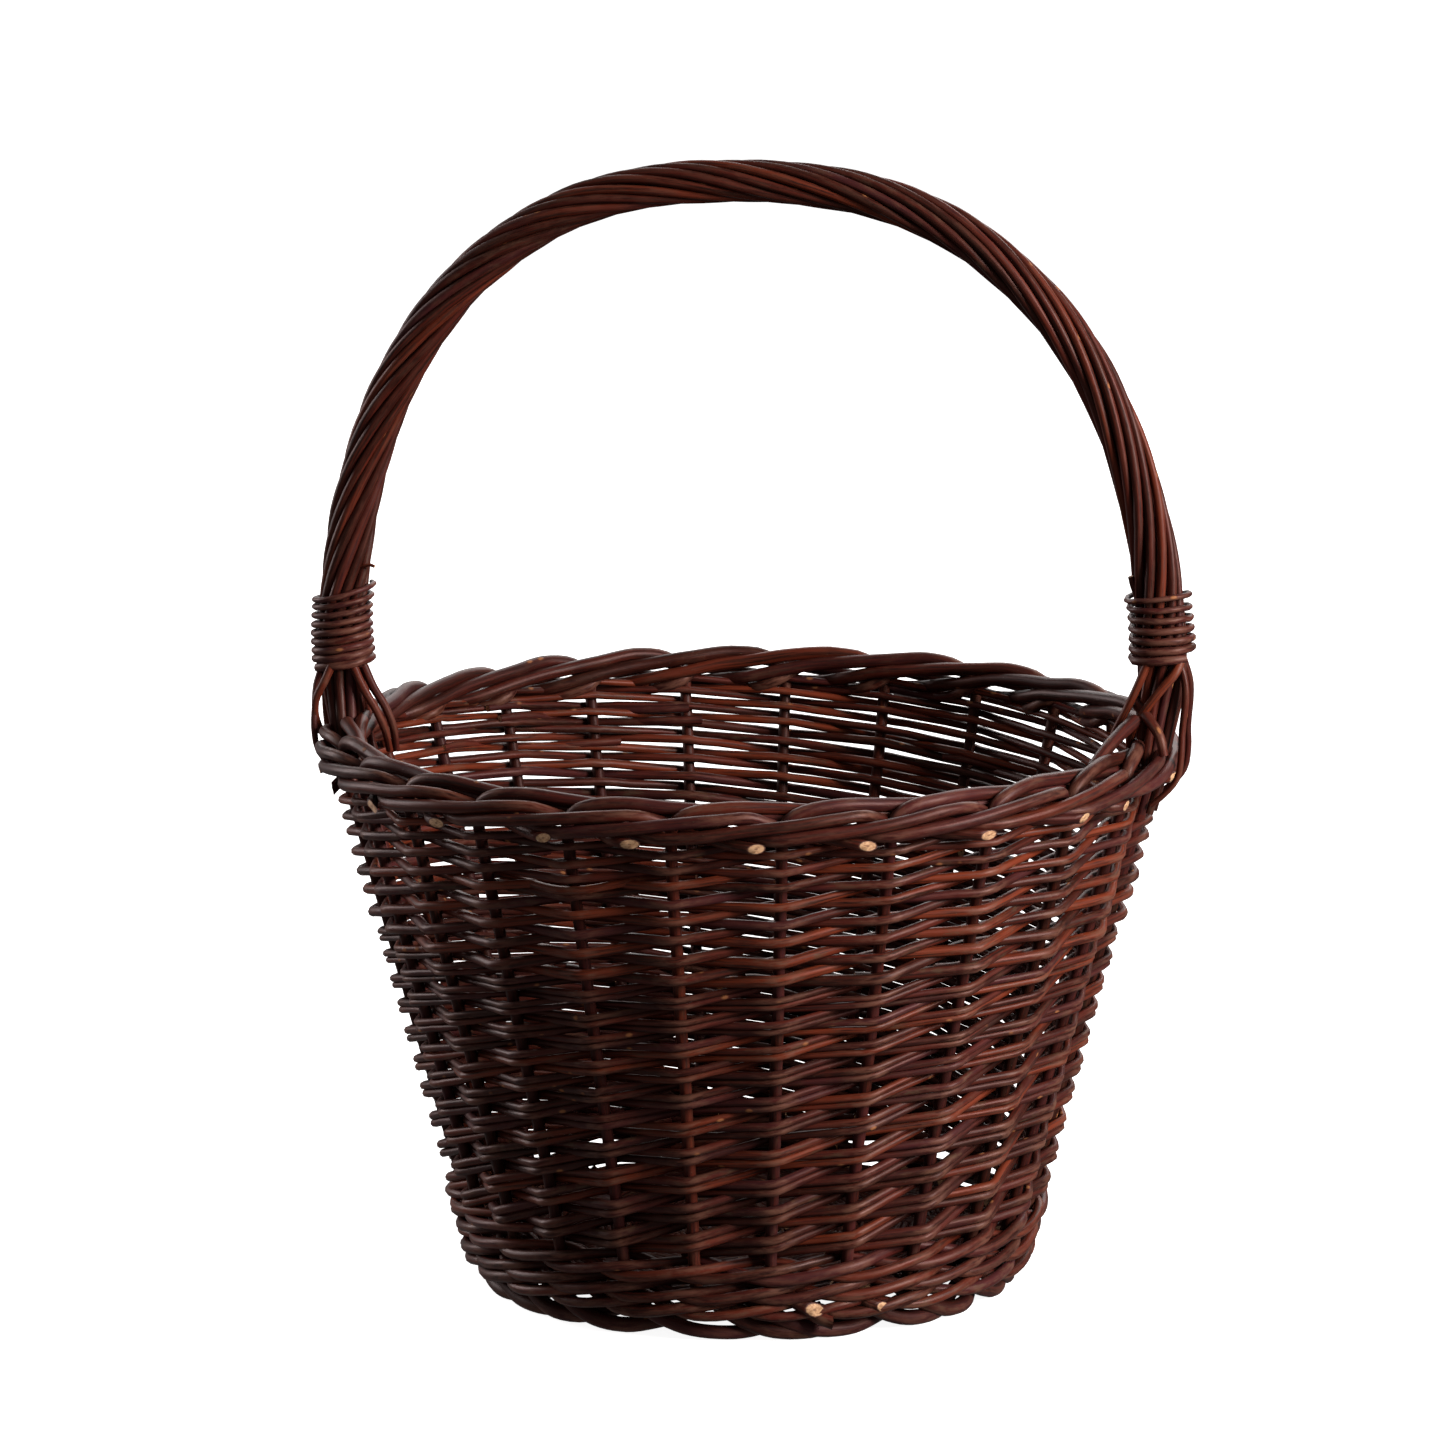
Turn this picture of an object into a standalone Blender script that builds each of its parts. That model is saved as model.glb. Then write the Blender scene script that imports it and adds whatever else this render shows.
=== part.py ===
"""Round willow market basket with a roped bow handle, as separate solids in metres, +Z up.

The origin is on the floor at the basket's centre. +X runs along the handle, and +Y across it.
The woven bands, the border and the foot are closed rings of the weave's true outer size, with a
channel for every stake. The sticks, stakes, handle rods and ties are rods.
"""

import math

import bmesh
import bpy
from mathutils import Vector

# Driving dimensions, in metres
CLEARANCE = 0.0003
RING_STEPS = 48

STAKE_COUNT = 24
STAKE_RADIUS = 0.0027
STAKE_DRIFT = math.radians(2.5)
STAKE_TOP_Z = 0.2398
STAKE_TUCK_RADIUS = 0.098
STAKE_BEND_START = 0.0085
STAKE_BEND_MIDDLE = 0.0015
STAKE_BEND_LIFT = 0.0025
STAKE_BEND_HEIGHT = 0.0100
CHANNEL_REACH = 0.002

WALL_FOOT_RADIUS = 0.1236
WALL_FOOT_Z = 0.020
WALL_FLARE = math.tan(math.radians(15.2))
WALL_HALF_THICKNESS = 0.0072

WALE_Z = (0.0130, 0.0455)
LOWER_WEAVE_Z = (0.0458, 0.1735)
UPPER_WEAVE_Z = (0.1738, 0.2400)

BORDER_OUTER_RADIUS = 0.197
BORDER_INNER_RADIUS = 0.1765
BORDER_Z = (0.2404, 0.2625)
BORDER_ROUNDING = 0.005

FOOT_OUTER_RADIUS = 0.124
FOOT_INNER_RADIUS = 0.1065
FOOT_HEIGHT = 0.0127
FOOT_ROUNDING = 0.003

BASE_Z = (0.0145, 0.0255)
BASE_OUTER_RADIUS = 0.1140
BASE_EYE_RADIUS = 0.025
STICKS_A_WAY = 3
STICK_RADIUS = 0.0035
STICK_SPACING = 0.008
STICK_LIFT = 0.0039
STICK_PARALLEL_HALF = 0.012
STICK_LEVEL_RADIUS = 0.024
STICK_END_RADIUS = 0.1130

HANDLE_HALF_WIDTH = 0.1915
HANDLE_SPRING_Z = 0.262
HANDLE_RISE = 0.2433
HANDLE_SQUARENESS = 2.25
HANDLE_LEG_Z = 0.300
HANDLE_CORE_RADIUS = 0.0062
HANDLE_TIP_RADIUS = 0.0030
HANDLE_NECK_RADIUS = 0.0045
HANDLE_TIP_Z = 0.190
HANDLE_FOOT_BEND_Z = 0.215
HANDLE_SHOULDER = 0.004
SOCKET_REACH = 0.01
SOCKET_DEPTH = 0.2

HANDLE_ROD_COUNT = 11
HANDLE_ROD_RADIUS = 0.00175
HANDLE_ROD_ORBIT = 0.0084
HANDLE_ROD_POINTS = 46
HANDLE_ROD_END_Z = 0.2640
HANDLE_TURNS = 3.2

TIE_RADIUS = 0.0017
TIE_ORBIT = 0.0130
TIE_TURNS = 6
TIE_POINTS_A_TURN = 12
TIE_Z = {"left": (0.279, 0.313), "right": (0.292, 0.326)}

TAIL_RADIUS = 0.0016
TAIL_SPREAD = 0.012
TAIL_TOP_Z = 0.2725
TAIL_DROP = 0.006
TAIL_TUCK = 0.003

BARK = (0.105, 0.030, 0.020, 1.0)
BARK_DARK = (0.060, 0.020, 0.016, 1.0)
BARK_RED = (0.150, 0.042, 0.024, 1.0)
BARK_ROUGHNESS = 0.45


def clear_scene():
    """Removes whatever the scene holds."""
    for obj in list(bpy.data.objects):
        bpy.data.objects.remove(obj, do_unlink=True)


def new_collection(name):
    """A collection of that name in the scene."""
    collection = bpy.data.collections.new(name)
    bpy.context.scene.collection.children.link(collection)
    return collection


def willow(name, colour):
    """A willow bark material."""
    material = bpy.data.materials.new(name)
    material.use_nodes = True
    shader = material.node_tree.nodes["Principled BSDF"]
    shader.inputs["Base Color"].default_value = colour
    shader.inputs["Roughness"].default_value = BARK_ROUGHNESS
    shader.inputs["Metallic"].default_value = 0.0
    return material


def stake_angle(index):
    """Where a stake stands. The stakes crowd a little towards the back, as hand-set stakes do."""
    even = index * math.tau / STAKE_COUNT
    return even + STAKE_DRIFT * (1 + math.sin(even))


def stick_angle(index):
    """Where an end of a base stick lies, between its two stakes."""
    return (stake_angle(2 * index) + stake_angle(2 * index + 1)) / 2


def wall_radius(z):
    """The radius of the stakes' centre line at a height."""
    return WALL_FOOT_RADIUS + WALL_FLARE * (z - WALL_FOOT_Z)


def around(radius, angle, z):
    """A point at a radius and an angle about the basket's axis."""
    return Vector((radius * math.cos(angle), radius * math.sin(angle), z))


def rod(name, points, radius, material, collection, resolution=1, shares=None):
    """A rod along points. shares scales its radius at each point."""
    curve = bpy.data.curves.new(name, "CURVE")
    curve.dimensions = "3D"
    curve.bevel_depth = radius
    curve.bevel_resolution = resolution
    curve.use_fill_caps = True
    spline = curve.splines.new("POLY")
    spline.points.add(len(points) - 1)
    spline.use_smooth = True
    for number, point in enumerate(points):
        spline.points[number].co = (*point, 1.0)
        spline.points[number].radius = shares[number] if shares else 1.0
    curve.materials.append(material)
    obj = bpy.data.objects.new(name, curve)
    collection.objects.link(obj)
    return obj


def ring(name, profile, material, collection):
    """A full turn of a closed profile of (radius, z) points that runs down its outer side."""
    mesh = bpy.data.meshes.new(name)
    shape = bmesh.new()
    corners = [shape.verts.new((radius, 0.0, z)) for radius, z in profile]
    for start, end in zip(corners, corners[1:] + corners[:1]):
        shape.edges.new((start, end))
    shape.to_mesh(mesh)
    shape.free()
    mesh.materials.append(material)
    obj = bpy.data.objects.new(name, mesh)
    collection.objects.link(obj)
    screw = obj.modifiers.new("Turn", "SCREW")
    screw.axis = "Z"
    screw.angle = math.tau
    screw.steps = RING_STEPS
    screw.render_steps = RING_STEPS
    screw.use_merge_vertices = True
    screw.merge_threshold = 0.00001
    return obj


def band_profile(span):
    """The section of a woven band of the wall between two heights."""
    low, high = span
    return [
        (wall_radius(high) + WALL_HALF_THICKNESS, high),
        (wall_radius(low) + WALL_HALF_THICKNESS, low),
        (wall_radius(low) - WALL_HALF_THICKNESS, low),
        (wall_radius(high) - WALL_HALF_THICKNESS, high),
    ]


def round_profile(inner, outer, low, high, rounding):
    """A rectangle with its corners cut at 45 degrees, running down its outer side."""
    return [
        (outer - rounding, high),
        (outer, high - rounding),
        (outer, low + rounding),
        (outer - rounding, low),
        (inner + rounding, low),
        (inner, low + rounding),
        (inner, high - rounding),
        (inner + rounding, high),
    ]


def cutter_of(name, rods, collection):
    """One cutter mesh from several curve rods, which it removes."""
    joined = bmesh.new()
    for obj in rods:
        bpy.context.view_layer.update()
        graph = bpy.context.evaluated_depsgraph_get()
        mesh = bpy.data.meshes.new_from_object(obj.evaluated_get(graph))
        mesh.transform(obj.matrix_world)
        joined.from_mesh(mesh)
        bpy.data.meshes.remove(mesh)
        bpy.data.objects.remove(obj, do_unlink=True)
    bmesh.ops.remove_doubles(joined, verts=joined.verts, dist=0.00001)
    bmesh.ops.recalc_face_normals(joined, faces=joined.faces)
    mesh = bpy.data.meshes.new(name)
    joined.to_mesh(mesh)
    joined.free()
    cutter = bpy.data.objects.new(name, mesh)
    cutter.hide_render = True
    cutter.display_type = "WIRE"
    collection.objects.link(cutter)
    return cutter


def cut(obj, cutter):
    """Takes the cutter's shape out of an object."""
    boolean = obj.modifiers.new(cutter.name, "BOOLEAN")
    boolean.operation = "DIFFERENCE"
    boolean.solver = "EXACT"
    boolean.object = cutter


def channel_radius(radius, sides):
    """The radius of a channel of that many sides which clears a rod all round."""
    return (radius + CLEARANCE) / math.cos(math.pi / sides)


# Base


def stick_points(way, place, end_radius):
    """A base stick's line: parallel to its neighbours at the middle, and fanned out at both ends."""
    middle = stick_angle(way * STICKS_A_WAY)
    level = sum(BASE_Z) / 2
    lift = STICK_LIFT if way else -STICK_LIFT
    offset = place * STICK_SPACING
    across = Vector((-math.sin(middle), math.cos(middle), 0.0)) * offset
    along = Vector((math.cos(middle), math.sin(middle), 0.0))
    near = stick_angle(way * STICKS_A_WAY + place)
    far = stick_angle(way * STICKS_A_WAY + 2 * STICKS_A_WAY - place)
    crossing = Vector((0.0, 0.0, level + lift))
    near_end = around(end_radius, near, level)
    far_end = around(end_radius, far, level)
    near_crossing = along * STICK_PARALLEL_HALF + across + crossing
    far_crossing = -along * STICK_PARALLEL_HALF + across + crossing
    points = [near_end]
    for crossed, end in ((near_crossing, near_end), (far_crossing, far_end)):
        flat_crossing = Vector((crossed.x, crossed.y, level))
        towards_end = (end - flat_crossing).normalized()
        reach = STICK_LEVEL_RADIUS - STICK_PARALLEL_HALF
        levelled = flat_crossing + towards_end * reach
        points += [levelled, crossed] if end is near_end else [crossed, levelled]
    return points + [far_end]


def build_base(materials, parts, cutters):
    """Six sticks crossed three over three, and the disc woven round them."""
    tunnels = []
    for way in range(2):
        for place in range(-1, STICKS_A_WAY - 1):
            number = way * STICKS_A_WAY + place + 2
            line = stick_points(way, place, STICK_END_RADIUS)
            rod(f"base_stick_{number}", line, STICK_RADIUS, materials["dark"], parts, 2)
            longer = stick_points(way, place, BASE_OUTER_RADIUS + 2 * STICK_RADIUS)
            wide = channel_radius(STICK_RADIUS, 8)
            tunnels.append(rod("stick_tunnel", longer, wide, materials["dark"], cutters, 2))
    low, high = BASE_Z
    profile = [
        (BASE_OUTER_RADIUS, high),
        (BASE_OUTER_RADIUS, low),
        (BASE_EYE_RADIUS, low),
        (BASE_EYE_RADIUS, high),
    ]
    disc = ring("base_weave", profile, materials["bark"], parts)
    cut(disc, cutter_of("stick_tunnels", tunnels, cutters))
    return disc


# Wall


def stake_points(index, tuck_radius, top_z):
    """A stake's line: tucked into the base beside a stick, turned up, then straight up the wall."""
    angle = stake_angle(index)
    level = sum(BASE_Z) / 2
    turn_z = level + STAKE_BEND_HEIGHT
    return [
        around(tuck_radius, angle, level),
        around(WALL_FOOT_RADIUS - STAKE_BEND_START, angle, level),
        around(WALL_FOOT_RADIUS - STAKE_BEND_MIDDLE, angle, level + STAKE_BEND_LIFT),
        around(wall_radius(turn_z), angle, turn_z),
        around(wall_radius(top_z), angle, top_z),
    ]


def build_wall(materials, parts, cutters, base):
    """The stakes and the three woven bands. Returns the band that the handle is pushed into."""
    channels = []
    for index in range(STAKE_COUNT):
        line = stake_points(index, STAKE_TUCK_RADIUS, STAKE_TOP_Z)
        rod(f"stake_{index + 1:02d}", line, STAKE_RADIUS, materials["dark"], parts)
        past_top = STAKE_TOP_Z + CHANNEL_REACH
        longer = stake_points(index, STAKE_TUCK_RADIUS - CHANNEL_REACH, past_top)
        wide = channel_radius(STAKE_RADIUS, 6)
        channels.append(rod("stake_channel", longer, wide, materials["dark"], cutters))
    channel_cutter = cutter_of("stake_channels", channels, cutters)
    cut(base, channel_cutter)
    spans = {
        "upsett_wale": (WALE_Z, "red"),
        "lower_weave": (LOWER_WEAVE_Z, "bark"),
        "upper_weave": (UPPER_WEAVE_Z, "red"),
    }
    bands = {}
    for name, (span, finish) in spans.items():
        bands[name] = ring(name, band_profile(span), materials[finish], parts)
        cut(bands[name], channel_cutter)
    return bands["upper_weave"]


def build_edges(materials, parts):
    """The foot border, which is flat underneath, and the rim border. Returns the rim border."""
    foot_profile = [
        (FOOT_OUTER_RADIUS, FOOT_HEIGHT),
        (FOOT_OUTER_RADIUS, FOOT_ROUNDING),
        (FOOT_OUTER_RADIUS - FOOT_ROUNDING, 0.0),
        (FOOT_INNER_RADIUS + FOOT_ROUNDING, 0.0),
        (FOOT_INNER_RADIUS, FOOT_ROUNDING),
        (FOOT_INNER_RADIUS, FOOT_HEIGHT),
    ]
    ring("foot_border", foot_profile, materials["dark"], parts)
    radii = (BORDER_INNER_RADIUS, BORDER_OUTER_RADIUS)
    rim_profile = round_profile(*radii, *BORDER_Z, BORDER_ROUNDING)
    return ring("rim_border", rim_profile, materials["bark"], parts)


# Handle


def arch_point(angle):
    """A point of the arch, a squared half ellipse in the XZ plane. Angle 0 is its right foot."""
    power = 2 / HANDLE_SQUARENESS
    wide = math.copysign(abs(math.cos(angle)) ** power, math.cos(angle))
    high = max(math.sin(angle), 0.0) ** power
    return Vector((HANDLE_HALF_WIDTH * wide, 0.0, HANDLE_SPRING_Z + HANDLE_RISE * high))


def leg_point(side, z):
    """A point of a leg's centre line below the arch, down to the border."""
    top = arch_point(leg_angle()).x
    neck = wall_radius(BORDER_Z[0])
    share = (z - BORDER_Z[0]) / (HANDLE_LEG_Z - BORDER_Z[0])
    bow = neck + (top - neck) * math.sin(share * math.pi / 2)
    return Vector((side * bow, 0.0, z))


def leg_angle():
    """The arch angle at which the legs begin."""
    share = (HANDLE_LEG_Z - HANDLE_SPRING_Z) / HANDLE_RISE
    return math.asin(share ** (HANDLE_SQUARENESS / 2))


def handle_line(low_z, arch_steps, leg_steps):
    """The handle's centre line from left to right, its legs reaching down to low_z."""
    start = leg_angle()
    legs = [low_z + (HANDLE_LEG_Z - low_z) * step / leg_steps for step in range(leg_steps)]
    sweep = math.pi - 2 * start
    arch = [arch_point(math.pi - start - sweep * step / arch_steps) for step in range(arch_steps + 1)]
    left = [leg_point(-1, z) for z in legs]
    right = [leg_point(1, z) for z in reversed(legs)]
    return left + arch + right


def side_directions(line):
    """At each point of the handle's line, the direction out of the arch."""
    outward = []
    for number, point in enumerate(line):
        before = line[max(number - 1, 0)]
        after = line[min(number + 1, len(line) - 1)]
        along = (after - before).normalized()
        outward.append(Vector((-along.z, 0.0, along.x)))
    return outward


def lengths_along(line):
    """The share of the line's length before each point."""
    lengths = [0.0]
    for start, end in zip(line, line[1:]):
        lengths.append(lengths[-1] + (end - start).length)
    return [length / lengths[-1] for length in lengths]


def orbit(line, radius, phases):
    """Points at a radius about a line in the XZ plane. Phase 0 is out of the arch, a quarter faces -Y."""
    points = []
    for point, outward, phase in zip(line, side_directions(line), phases):
        swing = outward * math.cos(phase) + Vector((0.0, -1.0, 0.0)) * math.sin(phase)
        points.append(point + swing * radius)
    return points


def build_core(materials, parts, cutters, upper_weave, rim_border):
    """The bow stick inside the handle, pointed at both ends and pushed down into the weave."""
    arch = handle_line(BORDER_Z[1] + HANDLE_SHOULDER, 30, 3)
    feet = (HANDLE_TIP_Z, HANDLE_FOOT_BEND_Z, BORDER_Z[0])
    left = [Vector((-wall_radius(z), 0.0, z)) for z in feet]
    right = [Vector((wall_radius(z), 0.0, z)) for z in reversed(feet)]
    line = left + arch + right
    neck = HANDLE_NECK_RADIUS / HANDLE_CORE_RADIUS
    tip = HANDLE_TIP_RADIUS / HANDLE_CORE_RADIUS
    foot_shares = [tip, neck, neck]
    arch_shares = [neck] + [1.0] * (len(arch) - 2) + [neck]
    shares = foot_shares + arch_shares + foot_shares[::-1]
    rod("handle_core", line, HANDLE_CORE_RADIUS, materials["dark"], parts, 2, shares)
    wide = channel_radius(HANDLE_NECK_RADIUS, 8)
    sockets = []
    for sign, (tip_point, bend, top) in ((-1, left), (1, right[::-1])):
        below = tip_point - (bend - tip_point) * SOCKET_DEPTH
        above = leg_point(sign, BORDER_Z[1] + SOCKET_REACH)
        sockets.append(rod("socket", [below, bend, top, above], wide, materials["dark"], cutters, 2))
    socket_cutter = cutter_of("handle_sockets", sockets, cutters)
    cut(upper_weave, socket_cutter)
    cut(rim_border, socket_cutter)


def build_handle_rods(materials, parts):
    """The rods roped round the bow stick, from the border over the arch and down to the border."""
    leg_steps = 4
    line = handle_line(HANDLE_ROD_END_Z, HANDLE_ROD_POINTS - 2 * leg_steps - 1, leg_steps)
    shares = lengths_along(line)
    finishes = ("bark", "red", "dark")
    for number in range(HANDLE_ROD_COUNT):
        start = number * math.tau / HANDLE_ROD_COUNT
        phases = [start + share * HANDLE_TURNS * math.tau for share in shares]
        points = orbit(line, HANDLE_ROD_ORBIT, phases)
        finish = materials[finishes[number % len(finishes)]]
        rod(f"handle_rod_{number + 1:02d}", points, HANDLE_ROD_RADIUS, finish, parts, 0)


def build_tie(side, materials, parts):
    """A thin rod bound round one foot of the handle."""
    sign = -1 if side == "left" else 1
    low, high = TIE_Z[side]
    steps = TIE_TURNS * TIE_POINTS_A_TURN
    line = []
    for step in range(steps + 1):
        z = low + (high - low) * step / steps
        on_leg = z < HANDLE_LEG_Z
        arch_share = (max(z, HANDLE_SPRING_Z) - HANDLE_SPRING_Z) / HANDLE_RISE
        on_arch = arch_point(math.asin(arch_share ** (HANDLE_SQUARENESS / 2)))
        line.append(leg_point(sign, z) if on_leg else Vector((sign * on_arch.x, 0.0, z)))
    phases = [step * math.tau / TIE_POINTS_A_TURN for step in range(steps + 1)]
    points = orbit(line, TIE_ORBIT, phases)
    rod(f"handle_tie_{side}", points, TIE_RADIUS, materials["red"], parts, 0)


def build_tails(side, materials, parts):
    """Two rod ends that come down from a tie, pass outside the border and turn in under it."""
    sign = -1 if side == "left" else 1
    outside = BORDER_OUTER_RADIUS + TAIL_RADIUS + 2 * CLEARANCE
    under_z = BORDER_Z[0] - TAIL_DROP
    under_radius = wall_radius(under_z) + WALL_HALF_THICKNESS + TAIL_TUCK
    for number, across in enumerate((-TAIL_SPREAD, TAIL_SPREAD), 1):
        under = math.sqrt(under_radius**2 - across**2)
        line = [
            Vector((sign * (outside + 0.0016), across * 0.55, TAIL_TOP_Z)),
            Vector((sign * (outside + 0.0010), across * 0.80, BORDER_Z[1] - 0.003)),
            Vector((sign * (outside + 0.0006), across, sum(BORDER_Z) / 2)),
            Vector((sign * outside, across, BORDER_Z[0] + 0.001)),
            Vector((sign * under, across, under_z)),
        ]
        rod(f"handle_tail_{side}_{number}", line, TAIL_RADIUS, materials["bark"], parts)


def build_handle(materials, parts, cutters, upper_weave, rim_border):
    """The whole handle and its fastenings."""
    build_core(materials, parts, cutters, upper_weave, rim_border)
    build_handle_rods(materials, parts)
    for side in TIE_Z:
        build_tie(side, materials, parts)
        build_tails(side, materials, parts)


def main():
    """Builds the basket."""
    clear_scene()
    parts = new_collection("woven_market_basket")
    cutters = new_collection("cutters")
    materials = {
        "bark": willow("willow_bark", BARK),
        "dark": willow("willow_bark_dark", BARK_DARK),
        "red": willow("willow_bark_red", BARK_RED),
    }
    base = build_base(materials, parts, cutters)
    upper_weave = build_wall(materials, parts, cutters, base)
    rim_border = build_edges(materials, parts)
    build_handle(materials, parts, cutters, upper_weave, rim_border)


main()
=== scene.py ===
"""The looks of a round willow market basket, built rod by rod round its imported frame.

Lengths are in metres. Every rod is made as a weaver uses one: a straight round stick, which is then
tapered, bent along its route and cut at its ends. The routes start from the frame's boxes.
"""

import functools
import logging
import math
from dataclasses import dataclass, field
from enum import Enum

import bmesh
import bpy
import numpy as np
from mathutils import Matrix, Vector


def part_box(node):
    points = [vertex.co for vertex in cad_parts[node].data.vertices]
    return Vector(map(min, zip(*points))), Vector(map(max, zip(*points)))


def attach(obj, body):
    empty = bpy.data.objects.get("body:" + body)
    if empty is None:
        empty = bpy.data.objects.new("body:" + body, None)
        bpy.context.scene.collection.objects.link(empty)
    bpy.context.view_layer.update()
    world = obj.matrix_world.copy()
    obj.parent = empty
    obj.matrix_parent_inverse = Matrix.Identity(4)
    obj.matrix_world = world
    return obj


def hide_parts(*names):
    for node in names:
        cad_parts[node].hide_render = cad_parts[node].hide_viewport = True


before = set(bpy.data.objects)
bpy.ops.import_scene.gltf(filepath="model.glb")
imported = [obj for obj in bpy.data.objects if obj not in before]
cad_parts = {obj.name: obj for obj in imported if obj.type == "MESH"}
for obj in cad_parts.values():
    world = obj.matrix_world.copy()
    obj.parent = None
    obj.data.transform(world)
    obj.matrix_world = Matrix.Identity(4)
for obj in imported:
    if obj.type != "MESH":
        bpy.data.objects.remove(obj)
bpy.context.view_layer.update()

LOG = logging.getLogger("basket")
BODY = "root"
MILLI = 0.001
UP = np.array((0.0, 0.0, 1.0))

Socket = bpy.types.NodeSocket
Colour = tuple[float, float, float, float]
Triple = tuple[float, float, float]


@functools.lru_cache(maxsize=None)
def box(node: str) -> tuple:
    """The lowest and the highest corner of a CAD node."""
    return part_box(node)


# Shading


class Value:
    """A number in a node tree. Arithmetic on it adds Math nodes."""

    def __init__(self, shading: "Shading", socket: Socket) -> None:
        """Wraps an output socket."""
        self.shading = shading
        self.socket = socket

    def _worked(self, operation: str, first: object, second: object) -> "Value":
        """The result of a Math node on two values."""
        node = self.shading.node("ShaderNodeMath", {"operation": operation}, {0: first, 1: second})
        return Value(self.shading, node.outputs[0])

    def __add__(self, other: object) -> "Value":
        """Adds."""
        return self._worked("ADD", self, other)

    __radd__ = __add__

    def __sub__(self, other: object) -> "Value":
        """Subtracts other."""
        return self._worked("SUBTRACT", self, other)

    def __rsub__(self, other: object) -> "Value":
        """Subtracts this from other."""
        return self._worked("SUBTRACT", other, self)

    def __mul__(self, other: object) -> "Value":
        """Multiplies."""
        return self._worked("MULTIPLY", self, other)

    __rmul__ = __mul__

    def __gt__(self, other: object) -> "Value":
        """One where this is greater, else zero."""
        return self._worked("GREATER_THAN", self, other)

    def step(self, low: float, high: float) -> "Value":
        """Rises smoothly from 0 at low to 1 at high, or falls if low is the greater.

        Args:
            low: The value that gives 0.
            high: The value that gives 1.

        Returns:
            The eased value.
        """
        settings = {"interpolation_type": "SMOOTHSTEP"}
        ends = {"Value": self, "From Min": min(low, high), "From Max": max(low, high)}
        ends |= {"To Min": float(low > high), "To Max": float(low < high)}
        node = self.shading.node("ShaderNodeMapRange", settings, ends)
        return Value(self.shading, node.outputs["Result"])


class Shading:
    """Adds nodes to one tree."""

    def __init__(self, tree: bpy.types.NodeTree) -> None:
        """Starts from an empty tree."""
        self.tree = tree
        tree.nodes.clear()

    def node(self, kind: str, settings: dict | None = None, values: dict | None = None) -> bpy.types.Node:
        """Adds one node.

        Args:
            kind: The node's type.
            settings: Its properties, which are set first.
            values: What its input sockets hold or are linked to, by name or number.

        Returns:
            The new node.
        """
        made = self.tree.nodes.new(kind)
        for name, setting in (settings or {}).items():
            setattr(made, name, setting)
        for name, value in (values or {}).items():
            if isinstance(name, int):
                socket = made.inputs[name]
            else:
                socket = next(s for s in made.inputs if s.enabled and s.name == name)
            source = value.socket if isinstance(value, Value) else value
            if isinstance(source, Socket):
                self.tree.links.new(source, socket)
            else:
                socket.default_value = source
        return made

    def attribute(self, name: str) -> bpy.types.Node:
        """Reads one of the mesh's attributes."""
        return self.node("ShaderNodeAttribute", {"attribute_name": name})

    def parts(self, vector: Socket) -> list[Value]:
        """The three numbers of a vector."""
        node = self.node("ShaderNodeSeparateXYZ", None, {"Vector": vector})
        return [Value(self, socket) for socket in node.outputs]

    def stretched(self, vector: Socket, scale: Triple) -> Socket:
        """A vector times a scale."""
        node = self.node("ShaderNodeVectorMath", {"operation": "MULTIPLY"}, {0: vector, 1: scale})
        return node.outputs["Vector"]

    def noise(self, vector: Socket, scale: float, detail: float = 2.0, rough: float = 0.5) -> Value:
        """Noise at a scale on a vector."""
        values = {"Vector": vector, "Scale": scale, "Detail": detail, "Roughness": rough}
        return Value(self, self.node("ShaderNodeTexNoise", None, values).outputs[0])

    def mixed(self, share: object, first: object, second: object) -> Socket:
        """Two colours mixed by a share of the second."""
        values = {0: share, 6: first, 7: second}
        return self.node("ShaderNodeMix", {"data_type": "RGBA"}, values).outputs[2]

    def surface(self, values: dict) -> None:
        """Ends the tree with a Principled BSDF that holds these values."""
        shader = self.node("ShaderNodeBsdfPrincipled", None, values)
        self.node("ShaderNodeOutputMaterial", None, {"Surface": shader.outputs[0]})


def new_material(name: str) -> tuple[bpy.types.Material, Shading]:
    """Makes an empty material.

    Args:
        name: Its name.

    Returns:
        The material, and the shading of its tree.
    """
    material = bpy.data.materials.new(name)
    material.use_nodes = True
    return material, Shading(material.node_tree)


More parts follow.
